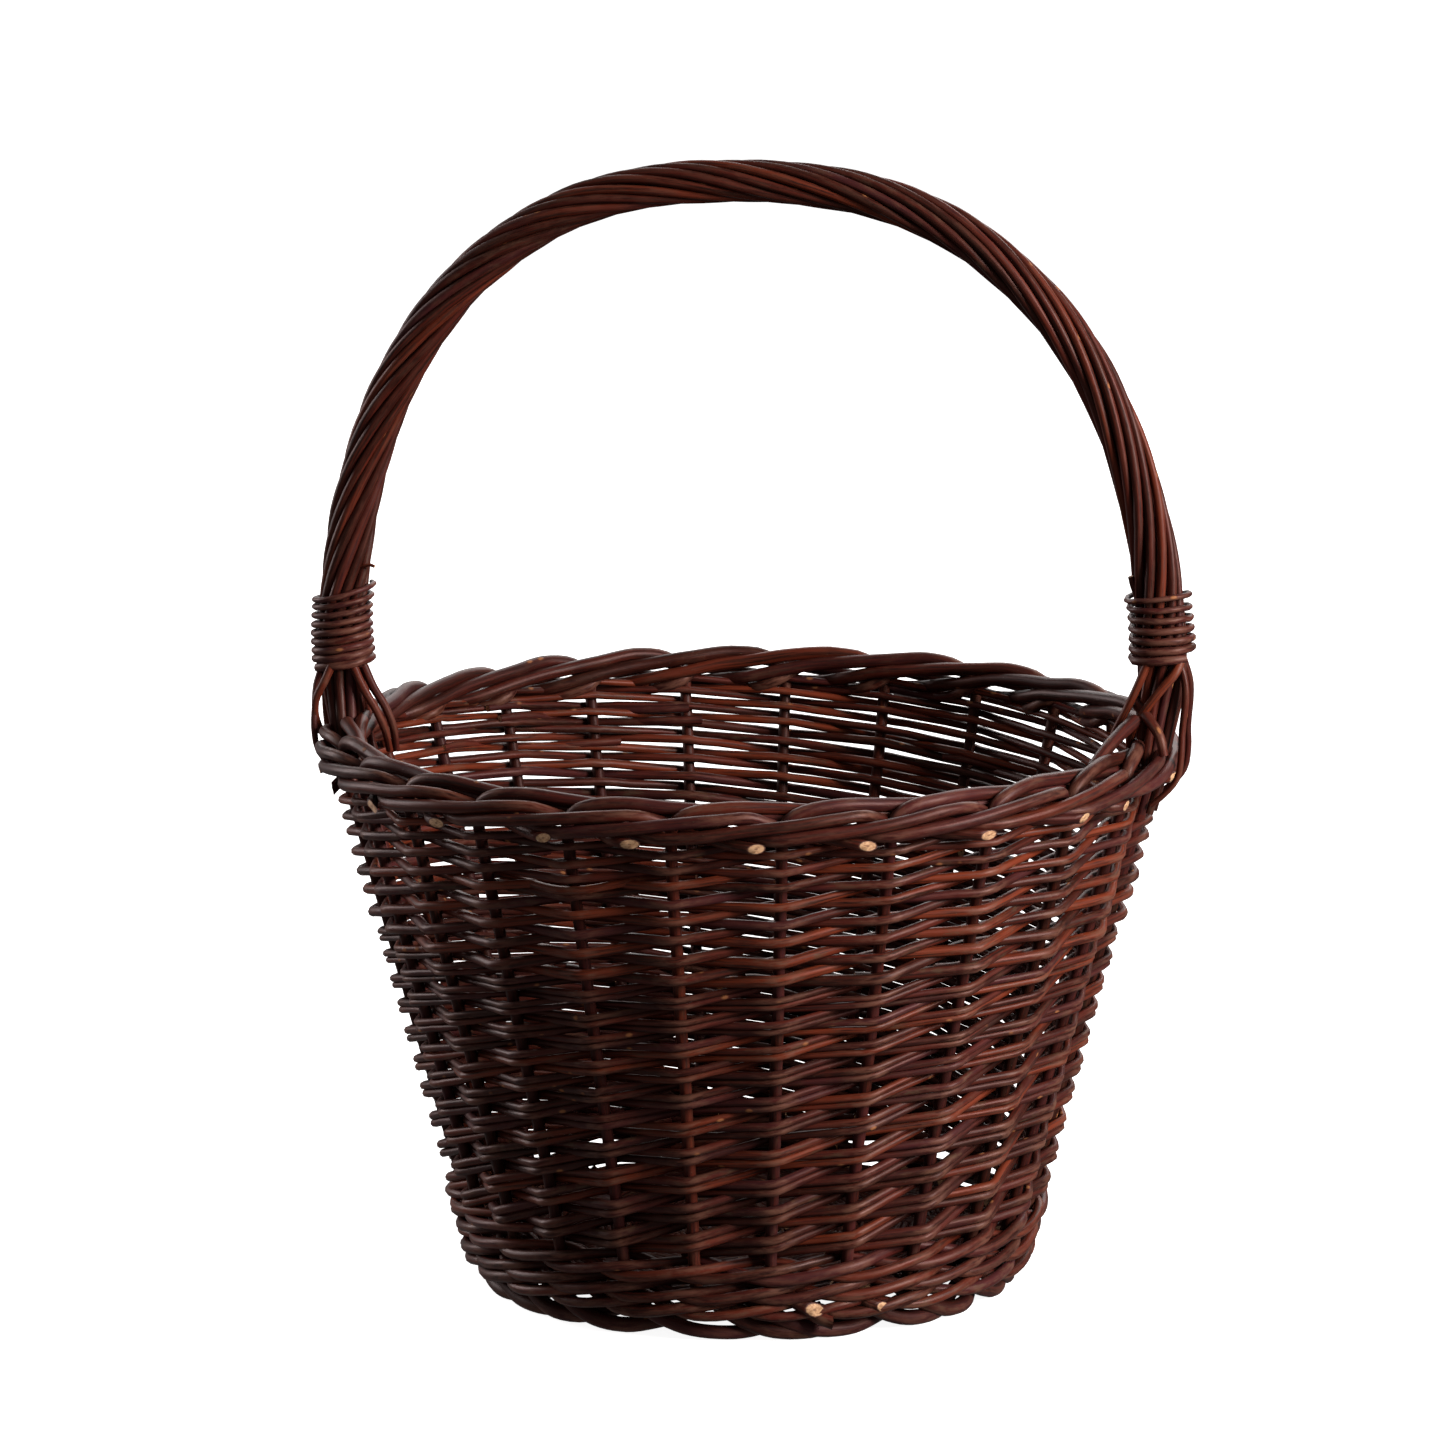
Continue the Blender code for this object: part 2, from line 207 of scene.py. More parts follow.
@dataclass(frozen=True)
class Bark:
    """Unpeeled dark willow: red-brown bark, streaked along the rod, with leaf scars, and knees paler on their
    outer side: rubbed bark and a painted highlight.
    """

    name: str
    mahogany: Colour = (0.066, 0.0106, 0.0066, 1.0)
    umber: Colour = (0.014, 0.0045, 0.0030, 1.0)
    chestnut: Colour = (0.160, 0.0275, 0.0098, 1.0)
    plum: Colour = (0.052, 0.0125, 0.0150, 1.0)
    lichen: Colour = (0.072, 0.0480, 0.0270, 1.0)
    # Paler bark for the outer side of knees: rubbed bark, and a painted highlight where the bends catch the
    # light.
    rubbed_and_sheen: Colour = (0.150, 0.0640, 0.0420, 1.0)
    scar: Colour = (0.330, 0.1300, 0.0500, 1.0)
    satin: float = 0.37
    gloss: float = 0.20
    gloss_tint: Colour = (1.0, 0.64, 0.60, 1.0)
    wax: float = 0.03
    wax_roughness: float = 0.28
    relief_depth: float = 0.00045

    def material(self) -> bpy.types.Material:
        """The bark as a node material that reads the rods' grain, cast, and knee wear with its painted
        highlight.

        Returns:
            The material.
        """
        material, shading = new_material(self.name)
        grain = shading.attribute("grain").outputs["Vector"]
        warm, plum, dull = shading.parts(shading.attribute("cast").outputs["Vector"])
        wear_and_sheen = Value(shading, shading.attribute("wear_and_sheen").outputs["Fac"])

        streaks = shading.noise(shading.stretched(grain, (0.85, 0.85, 0.030)), 1.0, 3.0, 0.6)
        fibres = shading.noise(shading.stretched(grain, (3.4, 3.4, 0.16)), 1.0, 2.0, 0.6)
        clouds = shading.noise(shading.stretched(grain, (0.10, 0.10, 0.022)), 1.0, 2.0, 0.5)
        blotches = shading.noise(shading.stretched(grain, (0.42, 0.42, 0.11)), 1.0, 3.0, 0.65)

        colour = shading.mixed(streaks.step(0.36, 0.66), self.umber, self.mahogany)
        colour = shading.mixed(plum * clouds.step(0.30, 0.62), colour, self.plum)
        colour = shading.mixed(warm.step(0.0, -0.30) * 0.6, colour, self.umber)
        colour = shading.mixed(warm.step(0.0, 0.7) * streaks.step(0.30, 0.58), colour, self.chestnut)
        colour = shading.mixed(fibres.step(0.46, 0.80) * 0.30, colour, self.chestnut)
        colour = shading.mixed(dull * blotches.step(0.50, 0.70), colour, self.lichen)
        # Paler on the outer side of knees: partly rubbed bark, partly a painted highlight on the bends.
        colour = shading.mixed(wear_and_sheen * blotches.step(0.36, 0.62) * 0.75, colour, self.rubbed_and_sheen)

        pores = self.spots(shading, grain, (0.62, 0.62, 0.34), 0.16, 0.30)
        scars = self.spots(shading, grain, (0.20, 0.20, 0.115), 0.26, 0.11)
        colour = shading.mixed(pores * 0.55, colour, self.lichen)
        colour = shading.mixed(scars * 0.85, colour, self.scar)

        height = streaks * 0.50 + fibres * 0.22 + pores * 0.35 + scars * 0.8
        bump = {"Strength": 0.55, "Distance": self.relief_depth, "Height": height}
        relief = shading.node("ShaderNodeBump", None, bump)
        rough = self.satin + fibres * 0.14 + (clouds - 0.5) * 0.22 + scars * 0.2
        shading.surface({
            "Base Color": colour,
            "Roughness": rough,
            "Specular IOR Level": self.gloss,
            "Specular Tint": self.gloss_tint,
            "Coat Weight": self.wax,
            "Coat Roughness": self.wax_roughness,
            "Normal": relief.outputs[0],
        })
        return material

    @staticmethod
    def spots(shading: Shading, grain: Socket, scale: Triple, size: float, share: float) -> Value:
        """Scattered spots on the bark.

        Args:
            shading: The tree.
            grain: The rod's grain in millimetres.
            scale: Cells to a millimetre round the rod and along it.
            size: A spot's reach in cells.
            share: The share of cells that hold a spot.

        Returns:
            One in a spot and zero outside it.
        """
        stretched = shading.stretched(grain, scale)
        cells = shading.node("ShaderNodeTexVoronoi", None, {"Vector": stretched, "Scale": 1.0})
        near = Value(shading, cells.outputs["Distance"])
        pick = shading.parts(cells.outputs["Color"])[0]
        return near.step(size, size * 0.35) * (1 - (pick > share))


@dataclass(frozen=True)
class CutWood:
    """The white wood of a cut end, with a ring of bark and a pith."""

    name: str = "willow_cut_wood"
    wood: Colour = (0.62, 0.37, 0.20, 1.0)
    stained: Colour = (0.36, 0.17, 0.08, 1.0)
    bark: Colour = (0.075, 0.022, 0.014, 1.0)
    pith: Colour = (0.22, 0.11, 0.06, 1.0)

    def material(self) -> bpy.types.Material:
        """The cut wood as a node material, which reads how far a point is from the rod's middle.

        Returns:
            The material.
        """
        material, shading = new_material(self.name)
        across = Value(shading, shading.attribute("across").outputs["Fac"])
        where = shading.attribute("grain").outputs["Vector"]
        patches = shading.noise(where, 0.9, 3.0, 0.6)
        colour = shading.mixed(patches.step(0.40, 0.68), self.wood, self.stained)
        colour = shading.mixed(across.step(0.22, 0.12) * 0.8, colour, self.pith)
        colour = shading.mixed(across.step(0.80, 0.92), colour, self.bark)
        fibres = shading.noise(where, 5.0, 2.0)
        relief = shading.node("ShaderNodeBump", None, {"Strength": 0.5, "Distance": 0.0002, "Height": fibres})
        shading.surface({"Base Color": colour, "Roughness": 0.7, "Normal": relief.outputs[0]})
        return material


class Finish(Enum):
    """The finishes, by the record's material slots."""

    SIDE = "willow_bark"
    DARK = "willow_bark_dark"
    RED = "willow_bark_red"
    HANDLE = "handle_willow"


BARKS = {
    Finish.SIDE: Bark("bark_side"),
    # Darker than the side bark: partly the stakes' own darker willow, partly painted shade for stakes that
    # sit back between the weavers.
    Finish.DARK: Bark("bark_stakes_and_shade", mahogany=(0.042, 0.0082, 0.0050, 1.0), satin=0.44),
    Finish.RED: Bark("bark_red", mahogany=(0.076, 0.0116, 0.0070, 1.0)),
    Finish.HANDLE: Bark(
        "bark_handle", mahogany=(0.074, 0.0110, 0.0066, 1.0), lichen=(0.060, 0.0300, 0.0180, 1.0), satin=0.36
    ),
}


class Palette:
    """Makes each finish's material once."""

    def __init__(self) -> None:
        """Makes the bark of every finish, and the cut wood that all of them share."""
        self.bark = {finish: bark.material() for finish, bark in BARKS.items()}
        self.cut = CutWood().material()


# Rods


@dataclass(frozen=True)
class Cast:
    """How one rod's bark differs from its neighbours'.

    It has a warm, a plum and a dull share, and its own place in the grain.
    """

    warm: float
    plum: float
    dull: float
    place: float


class Sheaf:
    """A sheaf of sorted willow, from which rods are drawn."""

    redness: float = 3.2
    red_rarity: float = 2.6
    darkness: float = 0.30
    plum_rarity: float = 1.6
    dullness: float = 0.72
    dull_rarity: float = 2.8
    grain_places: int = 4000
    grain_spacing: float = 7.0

    def __init__(self, seed: int, warmth: float = 0.22) -> None:
        """Sets the sheaf's own run of chance."""
        self.chance = np.random.default_rng(seed)
        self.warmth = warmth

    def draw(self) -> Cast:
        """Draws the next rod.

        Returns:
            Its look. Most rods are dark, and a few are much redder.
        """
        red = self.warmth * self.redness * self.chance.random() ** self.red_rarity
        warm = red - self.darkness * self.chance.random()
        plum = self.chance.random() ** self.plum_rarity
        dull = self.dullness * self.chance.random() ** self.dull_rarity
        place = float(self.chance.integers(0, self.grain_places)) * self.grain_spacing
        return Cast(warm, plum * min(1 - warm, 1.0), dull, place)

    def vary(self, spread: float) -> float:
        """A number near zero, seldom past the spread."""
        return float(np.clip(self.chance.normal(0.0, spread / 2), -1.3 * spread, 1.3 * spread))

    def about(self, value: float, share: float) -> float:
        """A value give or take a share of it."""
        return value * (1 + self.vary(share))


@dataclass
class Rod:
    """One rod: its middle line, its radii, its look and, if it is cut aslant, the way its end faces."""

    line: np.ndarray
    radii: np.ndarray
    cast: Cast
    facing: np.ndarray | None = None


def unit(vectors: np.ndarray) -> np.ndarray:
    """The vectors at length 1."""
    return vectors / np.linalg.norm(vectors, axis=-1, keepdims=True)


def lengths_along(line: np.ndarray) -> np.ndarray:
    """How far along the line each of its points is."""
    return np.concatenate(([0.0], np.cumsum(np.linalg.norm(np.diff(line, axis=0), axis=1))))


def ramp(values: np.ndarray, start: float, length: float) -> np.ndarray:
    """Each value's share of the way along a length, from 0 at its start to 1 at its end."""
    return np.clip((values - start) / length, 0.0, 1.0)


def smooth_line(points: object, spacing: float) -> tuple[np.ndarray, np.ndarray]:
    """A smooth line through points.

    Args:
        points: The points that it passes through.
        spacing: About how far apart its own points are.

    Returns:
        The line's points, and for each the number of points passed, as a fraction.
    """
    points = np.asarray(points, float)
    gaps = np.linalg.norm(np.diff(points, axis=0), axis=1)
    slopes = np.diff(points, axis=0) / gaps[:, None]
    inner = (slopes[:-1] * gaps[1:, None] + slopes[1:] * gaps[:-1, None]) / (gaps[:-1] + gaps[1:])[:, None]
    tangents = np.vstack((slopes[:1], inner, slopes[-1:]))
    line, passed = [], []
    for span, gap in enumerate(gaps):
        steps = max(int(round(gap / spacing)), 1)
        t = np.arange(steps) / steps
        start, end = points[span], points[span + 1]
        lean_in, lean_out = tangents[span] * gap, tangents[span + 1] * gap
        weights = (2 * t**3 - 3 * t**2 + 1, t**3 - 2 * t**2 + t, 3 * t**2 - 2 * t**3, t**3 - t**2)
        line.append(sum(np.outer(w, v) for w, v in zip(weights, (start, lean_in, end, lean_out))))
        passed.append(span + t)
    line.append(points[-1:])
    passed.append(np.array([float(len(gaps))]))
    return np.vstack(line), np.concatenate(passed)


def kneed_line(knees: np.ndarray, softness: float, between: int) -> tuple[np.ndarray, np.ndarray]:
    """Straight runs from knee to knee, with each knee slightly rounded, as a rod bends over a stake.

    Args:
        knees: The points that it bends at.
        softness: The share of a run that a bend takes at each end of it.
        between: How many points each straight run holds.

    Returns:
        The line's points, and for each the number of knees passed, as a fraction.
    """
    knees = np.asarray(knees, float)
    line, passed = [knees[0]], [0.0]
    for number in range(1, len(knees)):
        start, end = knees[number - 1], knees[number]
        for step in range(between):
            share = softness + (1 - 2 * softness) * (step + 0.5) / between
            line.append(start + (end - start) * share)
            passed.append(number - 1 + share)
        if number < len(knees) - 1:
            coming = end + (start - end) * softness
            leaving = end + (knees[number + 1] - end) * softness
            line += [coming, (coming + 2 * end + leaving) / 4, leaving]
            passed += [number - softness, float(number), number + softness]
    line.append(knees[-1])
    passed.append(float(len(knees) - 1))
    return np.array(line), np.array(passed)


def tapered(passed: np.ndarray, first: float, last: float, sheaf: Sheaf, rough: float = 0.03) -> np.ndarray:
    """Radii that go evenly from first to last, a little uneven from point to point.

    Args:
        passed: How far on each point is.
        first: The radius at the first point.
        last: The radius at the last.
        sheaf: The willow, whose chance makes it uneven.
        rough: How uneven it is, as a share.

    Returns:
        The radius at each point.
    """
    share = passed / passed[-1]
    uneven = 1 + rough * sheaf.chance.normal(0.0, 0.5, len(passed))
    return (first + (last - first) * share) * uneven


class Mould:
    """A straight stick of unit radius with a number of rings, and where each of its corners is on it."""

    made: dict[tuple[int, int], "Mould"] = {}
    upright: float = 0.9
    full_bend: float = 0.16

    def __init__(self, sides: int, rings: int) -> None:
        """Turns the stick, rings it, and marks its two cut ends.

        Args:
            sides: How many sides the stick has.
            rings: How many rings of corners it has, both ends' among them.
        """
        shape = bmesh.new()
        bmesh.ops.create_cone(
            shape, cap_ends=True, cap_tris=False, segments=sides, radius1=1.0, radius2=1.0, depth=1.0
        )
        caps = [face for face in shape.faces if abs(face.normal.z) > self.upright]
        bmesh.ops.poke(shape, faces=caps)
        for face in shape.faces:
            face.material_index = int(abs(face.normal.z) > self.upright)
        long_edges = [edge for edge in shape.edges if abs(edge.verts[0].co.z - edge.verts[1].co.z) > 0.5]
        bmesh.ops.subdivide_edges(shape, edges=long_edges, cuts=rings - 2, use_grid_fill=True)
        self.mesh = bpy.data.meshes.new("mould")
        shape.to_mesh(self.mesh)
        shape.free()
        corners = np.empty(len(self.mesh.vertices) * 3)
        self.mesh.vertices.foreach_get("co", corners)
        corners = corners.reshape(-1, 3)
        self.ring = np.rint((corners[:, 2] + 0.5) * (rings - 1)).astype(int)
        self.across = corners[:, :2]

    @classmethod
    def of(cls, sides: int, rings: int) -> "Mould":
        """The mould of that many sides and rings, made when first asked for.

        Args:
            sides: How many sides it has.
            rings: How many rings it has.

        Returns:
            The mould.
        """
        if (sides, rings) not in cls.made:
            cls.made[sides, rings] = cls(sides, rings)
        return cls.made[sides, rings]

    @classmethod
    def clear(cls) -> None:
        """Throws the moulds away."""
        for mould in cls.made.values():
            bpy.data.meshes.remove(mould.mesh)
        cls.made.clear()

    def bend(self, rod: Rod) -> dict[str, np.ndarray]:
        """Bends the stick along a rod's line.

        Args:
            rod: The rod, whose line has as many points as the mould has rings.

        Returns:
            Each corner's place, and what the bark reads there.
        """
        line, radii = rod.line, rod.radii
        along = unit(np.gradient(line, axis=0))
        steep = abs(along[0][2]) > self.upright
        sides = [unit(np.cross(along[0], np.array((1.0, 0.0, 0.0)) if steep else UP))]
        for direction in along[1:]:
            side = sides[-1] - direction * (sides[-1] @ direction)
            sides.append(unit(side))
        sides = np.array(sides)
        other = np.cross(along, sides)
        reach = sides[self.ring] * self.across[:, :1] + other[self.ring] * self.across[:, 1:]
        places = line[self.ring] + reach * radii[self.ring, None]
        distance = lengths_along(line)
        if rod.facing is not None:
            places = self.cut_aslant(rod, places, along, distance)
        turning = np.gradient(along, axis=0)
        bend = np.linalg.norm(turning, axis=1)
        # How far a corner is on the outer side of a bend, where the bark is painted paler: rubbed bark and a
        # painted highlight.
        outer = -(reach * (turning / np.maximum(bend, 1e-9)[:, None])[self.ring]).sum(1)
        grain = np.column_stack((self.across * radii[self.ring, None], distance[self.ring]))
        grain = grain / MILLI + (0.0, 0.0, rod.cast.place)
        return {
            "co": places,
            "grain": grain,
            "wear_and_sheen": np.clip(outer, 0, 1) * np.clip(bend[self.ring] / self.full_bend, 0, 1),
            "across": np.linalg.norm(self.across, axis=1),
            "cast": np.tile((rod.cast.warm, rod.cast.plum, rod.cast.dull), (len(places), 1)),
        }

    def cut_aslant(self, rod: Rod, places: np.ndarray, along: np.ndarray, distance: np.ndarray) -> np.ndarray:
        """Cuts the far end on a slant, by sliding the last rings' corners along the rod.

        Args:
            rod: The rod.
            places: Its corners.
            along: The rod's direction at each ring.
            distance: How far along the rod each ring is.

        Returns:
            The corners after the cut.
        """
        end, direction = rod.line[-1], along[-1]
        lean = direction @ rod.facing
        left = distance[-1] - distance[self.ring]
        flat = (places - end) - np.outer((places - end) @ direction, direction)
        reach = 2.6 * rod.radii[-1]
        slide = np.clip(-(flat @ rod.facing) / lean, -reach, reach)
        share = np.clip(1 - left / (4.0 * rod.radii[-1]), 0, 1)
        return places + np.outer(slide * share, direction)


class Piece:
    """One piece of the basket, made of one or more rods."""

    def __init__(self, name: str, finish: Finish, sides: int = 8) -> None:
        """Starts with no rods.

        Args:
            name: The piece's name.
            finish: Its bark.
            sides: How many sides each of its rods has.
        """
        self.name = name
        self.finish = finish
        self.sides = sides
        self.rods: list[Rod] = []

    def add(self, line: np.ndarray, radii: np.ndarray, cast: Cast, facing: np.ndarray | None = None) -> None:
        """Adds a rod that is already bent."""
        self.rods.append(Rod(line, radii, cast, facing))

    def weave_in(
        self, points: object, spacing: float, ends: tuple[float, float], sheaf: Sheaf, rough: float = 0.03,
        cast: Cast | None = None, facing: np.ndarray | None = None,
    ) -> None:
        """Adds a rod that passes smoothly through points.

        Args:
            points: The points.
            spacing: About how far apart its rings are.
            ends: Its radius at the first point and at the last.
            sheaf: The willow that it is drawn from.
            rough: How uneven its radius is, as a share.
            cast: Its look, if it isn't the sheaf's next.
            facing: The way that its cut end faces, if it is cut aslant.
        """
        line, passed = smooth_line(points, spacing)
        radii = tapered(passed, *ends, sheaf, rough)
        self.add(line, radii, cast or sheaf.draw(), facing)

    def build(self, palette: Palette, *nodes: str) -> bpy.types.Object:
        """Makes the piece's mesh, dresses it and lets it ride in place of CAD nodes.

        Args:
            palette: The materials.
            nodes: The CAD nodes that it stands for.

        Returns:
            The piece.
        """
        joined = bmesh.new()
        bent = []
        for rod in self.rods:
            mould = Mould.of(self.sides, len(rod.line))
            shaped = mould.bend(rod)
            stick = mould.mesh.copy()
            stick.vertices.foreach_set("co", shaped["co"].astype(np.float32).ravel())
            joined.from_mesh(stick)
            bpy.data.meshes.remove(stick)
            bent.append(shaped)
        mesh = bpy.data.meshes.new(self.name)
        joined.to_mesh(mesh)
        joined.free()
        for name, kind, key in (
            ("grain", "FLOAT_VECTOR", "vector"),
            ("cast", "FLOAT_VECTOR", "vector"),
            ("wear_and_sheen", "FLOAT", "value"),
            ("across", "FLOAT", "value"),
        ):
            values = np.concatenate([shaped[name] for shaped in bent]).astype(np.float32)
            mesh.attributes.new(name, kind, "POINT").data.foreach_set(key, values.ravel())
        mesh.shade_smooth()
        mesh.set_sharp_from_angle(angle=math.radians(70))
        mesh.materials.append(palette.bark[self.finish])
        mesh.materials.append(palette.cut)
        piece = bpy.data.objects.new(self.name, mesh)
        bpy.context.scene.collection.objects.link(piece)
        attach(piece, BODY)
        if nodes:
            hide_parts(*nodes)
        LOG.info("%s: %d rods, %d faces", self.name, len(self.rods), len(mesh.polygons))
        return piece


# Form


@dataclass(frozen=True)
class Wall:
    """The flared wall that the stakes stand in: a cone, with the stakes crowded a little towards the back."""

    stakes: int = 24
    stake_radius: float = 0.0027
    drift: float = math.radians(2.5)
    half_thickness: float = 0.0072

    @property
    def base_level(self) -> float:
        """The height of the middle of the base."""
        low, high = box("base_weave")
        return (low.z + high.z) / 2

    @property
    def top(self) -> float:
        """The height of the top of the weave."""
        return box("upper_weave")[1].z

    @property
    def lean(self) -> float:
        """The angle of the wall from upright."""
        lower, upper = box("lower_weave")[1], box("upper_weave")[1]
        return math.atan((upper.x - lower.x) / (upper.z - lower.z))

    def bearing(self, stake: float) -> float:
        """The angle of a stake about the basket's axis; between stakes, of a point between them."""
        even = stake * math.tau / self.stakes
        return even + self.drift * (1 + math.sin(even))

    def radius(self, z: float) -> float:
        """The radius of the stakes' middle line at a height."""
        upper = box("upper_weave")[1]
        return upper.x - self.half_thickness + math.tan(self.lean) * (z - upper.z)

    def place(self, stake: float, z: float, out: float = 0.0) -> np.ndarray:
        """A point of the wall, and so far out of it square to its face."""
        lean = self.lean
        return polar(self.radius(z) + out * math.cos(lean), self.bearing(stake), z - out * math.sin(lean))


def polar(radius: float, angle: float, z: float) -> np.ndarray:
    """A point at a radius and an angle about the basket's axis."""
    return np.array((radius * math.cos(angle), radius * math.sin(angle), z))


# Base and foot


@dataclass
class Base:
    """Six sticks crossed three through three, and the rods paired round their twelve ends."""

    wall: Wall
    stick_radius: float = 0.0035
    stick_taper: float = 0.92
    stick_spacing: float = 0.008
    stick_lift: float = 0.0039
    parallel_half: float = 0.012
    level_radius: float = 0.024
    rod_radius: float = 0.00175
    rod_variety: float = 0.07
    rod_butt: float = 1.05
    rod_tip: float = 0.97
    softness: float = 0.22
    hub_radius: float = 0.0150
    hub_growth: float = 0.0016
    hub_bulge: float = 1.14
    arms: int = 12
    arms_a_rod: int = 27
    phase_lag: int = 5
    round_pitch: float = 0.0033
    eye_radius: float = 0.0212
    past_edge: float = 0.0042
    wobble: float = 0.0003
    sheaf: Sheaf = field(default_factory=lambda: Sheaf(11, 0.12))

    def arm_bearing(self, arm: float) -> float:
        """The angle of an arm, midway between its two stakes."""
        return (self.wall.bearing(2 * arm) + self.wall.bearing(2 * arm + 1)) / 2

    def stick_line(self, way: int, place: int) -> np.ndarray:
        """A stick's points, level at its ends and lifted or lowered where the two threes cross.

        Args:
            way: Which three it is of: 0 for the lower, 1 for the upper.
            place: Its place in its three, from -1 to 1.

        Returns:
            The points.
        """
        level = self.wall.base_level
        middle = self.arm_bearing(3 * way)
        lift = self.stick_lift if way else -self.stick_lift
        end_radius = box("base_weave")[1].x - 0.001
        aside = polar(place * self.stick_spacing, middle + math.pi / 2, 0.0)
        ends = (self.arm_bearing(3 * way + place), self.arm_bearing(3 * way + 6 - place))
        points = []
        for sign, end_bearing in zip((1, -1), ends):
            crossing = polar(sign * self.parallel_half, middle, level + lift) + aside
            end = polar(end_radius, end_bearing, level)
            flat = crossing * (1, 1, 0) + UP * level
            levelled = flat + unit(end - flat) * (self.level_radius - self.parallel_half)
            points += [end, levelled, crossing] if sign > 0 else [crossing, levelled, end]
        return np.array(points)

    def build_sticks(self, palette: Palette) -> None:
        """Makes the six sticks, a piece each.

        Args:
            palette: The materials.
        """
        ends = (self.stick_radius, self.stick_radius * self.stick_taper)
        for way in range(2):
            for place in (-1, 0, 1):
                number = way * 3 + place + 2
                piece = Piece(f"slath_stick_{number}", Finish.DARK, 10)
                piece.weave_in(self.stick_line(way, place), 0.008, ends, self.sheaf)
                piece.build(palette, f"base_stick_{number}")

    def tie_hub(self, piece: Piece) -> None:
        """Takes two rods twice round the crossed threes.

        Args:
            piece: The piece that the rods are added to.
        """
        level = self.wall.base_level
        reach = self.stick_radius + self.rod_radius
        for phase in (0, 1):
            knees = []
            for step in range(4 * 3 * 2 + 1):
                group, corner = divmod(step, 2)
                radius = self.hub_radius + self.hub_growth * group / 4
                lift = self.stick_lift if group % 2 else -self.stick_lift
                over = 1 if (group + phase) % 2 else -1
                z = level if corner else level + lift + over * reach
                bearing = self.arm_bearing(3 * group + 1.5 * corner)
                knees.append(polar(radius * (self.hub_bulge if corner else 1.0), bearing, z))
            piece.weave_in(knees, 0.004, (self.rod_radius, self.rod_radius), self.sheaf)

    def pair_round(self, piece: Piece) -> None:
        """Weaves two rods by turns over and under every arm, out to the base's edge.

        Args:
            piece: The piece that the rods are added to.
        """
        reach = self.stick_radius + self.rod_radius
        outer = box("base_weave")[1].x + self.past_edge
        steps = int((outer - self.eye_radius) / self.round_pitch) * self.arms
        for phase in (0, 1):
            start = phase * self.phase_lag
            while start < steps - 3:
                stop = min(start + self.arms_a_rod, steps)
                knees = []
                for step in range(start - 1, stop + 1):
                    radius = self.eye_radius + self.round_pitch * step / self.arms
                    over = 1 if (step + phase) % 2 else -1
                    z = self.wall.base_level + over * (reach + self.sheaf.vary(self.wobble))
                    knees.append(polar(radius + self.sheaf.vary(self.wobble), self.arm_bearing(step), z))
                line, passed = kneed_line(np.array(knees), self.softness, 1)
                radius = self.sheaf.about(self.rod_radius, self.rod_variety)
                radii = tapered(passed, radius * self.rod_butt, radius * self.rod_tip, self.sheaf)
                piece.add(line, radii, self.sheaf.draw())
                start = stop

    def build(self, palette: Palette) -> None:
        """Makes the sticks, and the pairing as one piece.

        Args:
            palette: The materials.
        """
        self.build_sticks(palette)
        piece = Piece("base_pairing", Finish.SIDE, 6)
        self.tie_hub(piece)
        self.pair_round(piece)
        piece.build(palette, "base_weave")


@dataclass
class FootBorder:
    """The foot: thick rods that come down out of the wale and lie down one behind the next on the floor."""

    wall: Wall
    rod_radius: float = 0.0038
    taper: float = 0.86
    clearance: float = 0.0001
    sheaf: Sheaf = field(default_factory=lambda: Sheaf(23, 0.10))

    def route(self, number: int) -> np.ndarray:
        """A foot rod's route, from inside the wale to its end inside the foot.

        Args:
            number: The space between stakes that it starts in.

        Returns:
            The points that it passes through.
        """
        outer = box("foot_border")[1].x - self.rod_radius
        floor = self.rod_radius
        start = number + self.sheaf.vary(0.34)
        lift = self.sheaf.vary(0.0012)
        reach = self.sheaf.about(1.0, 0.16)
        stations = (
            (-0.36, -0.0035, 0.0260),
            (-0.12, -0.0005, 0.0185 + lift),
            (0.12, 0.0006, 0.0128 + lift),
            (0.40, 0.0006, 0.0082),
            (0.70, 0.0002, 0.0050),
            (1.00, -0.0006, floor + self.clearance),
            (1.30, -0.0026, floor + self.clearance),
            (1.62, -0.0064, floor + 0.0018),
            (2.00, -0.0096, floor + 0.0048),
            (2.34 + self.sheaf.vary(0.1), -0.0100, floor + 0.0082),
        )
        return np.array([
            polar(outer + out, self.wall.bearing(start + ahead * reach), z) for ahead, out, z in stations
        ])

    def build(self, palette: Palette) -> None:
        """Makes the foot border, as one piece.

        Args:
            palette: The materials.
        """
        piece = Piece("foot_border_rods", Finish.DARK, 12)
        for number in range(self.wall.stakes):
            points = self.route(number)
            radius = min(self.sheaf.about(self.rod_radius, 0.10), self.rod_radius)
            piece.weave_in(points, 0.0035, (radius, radius * self.taper), self.sheaf, 0.02)
        piece.build(palette, "foot_border")


# Wall


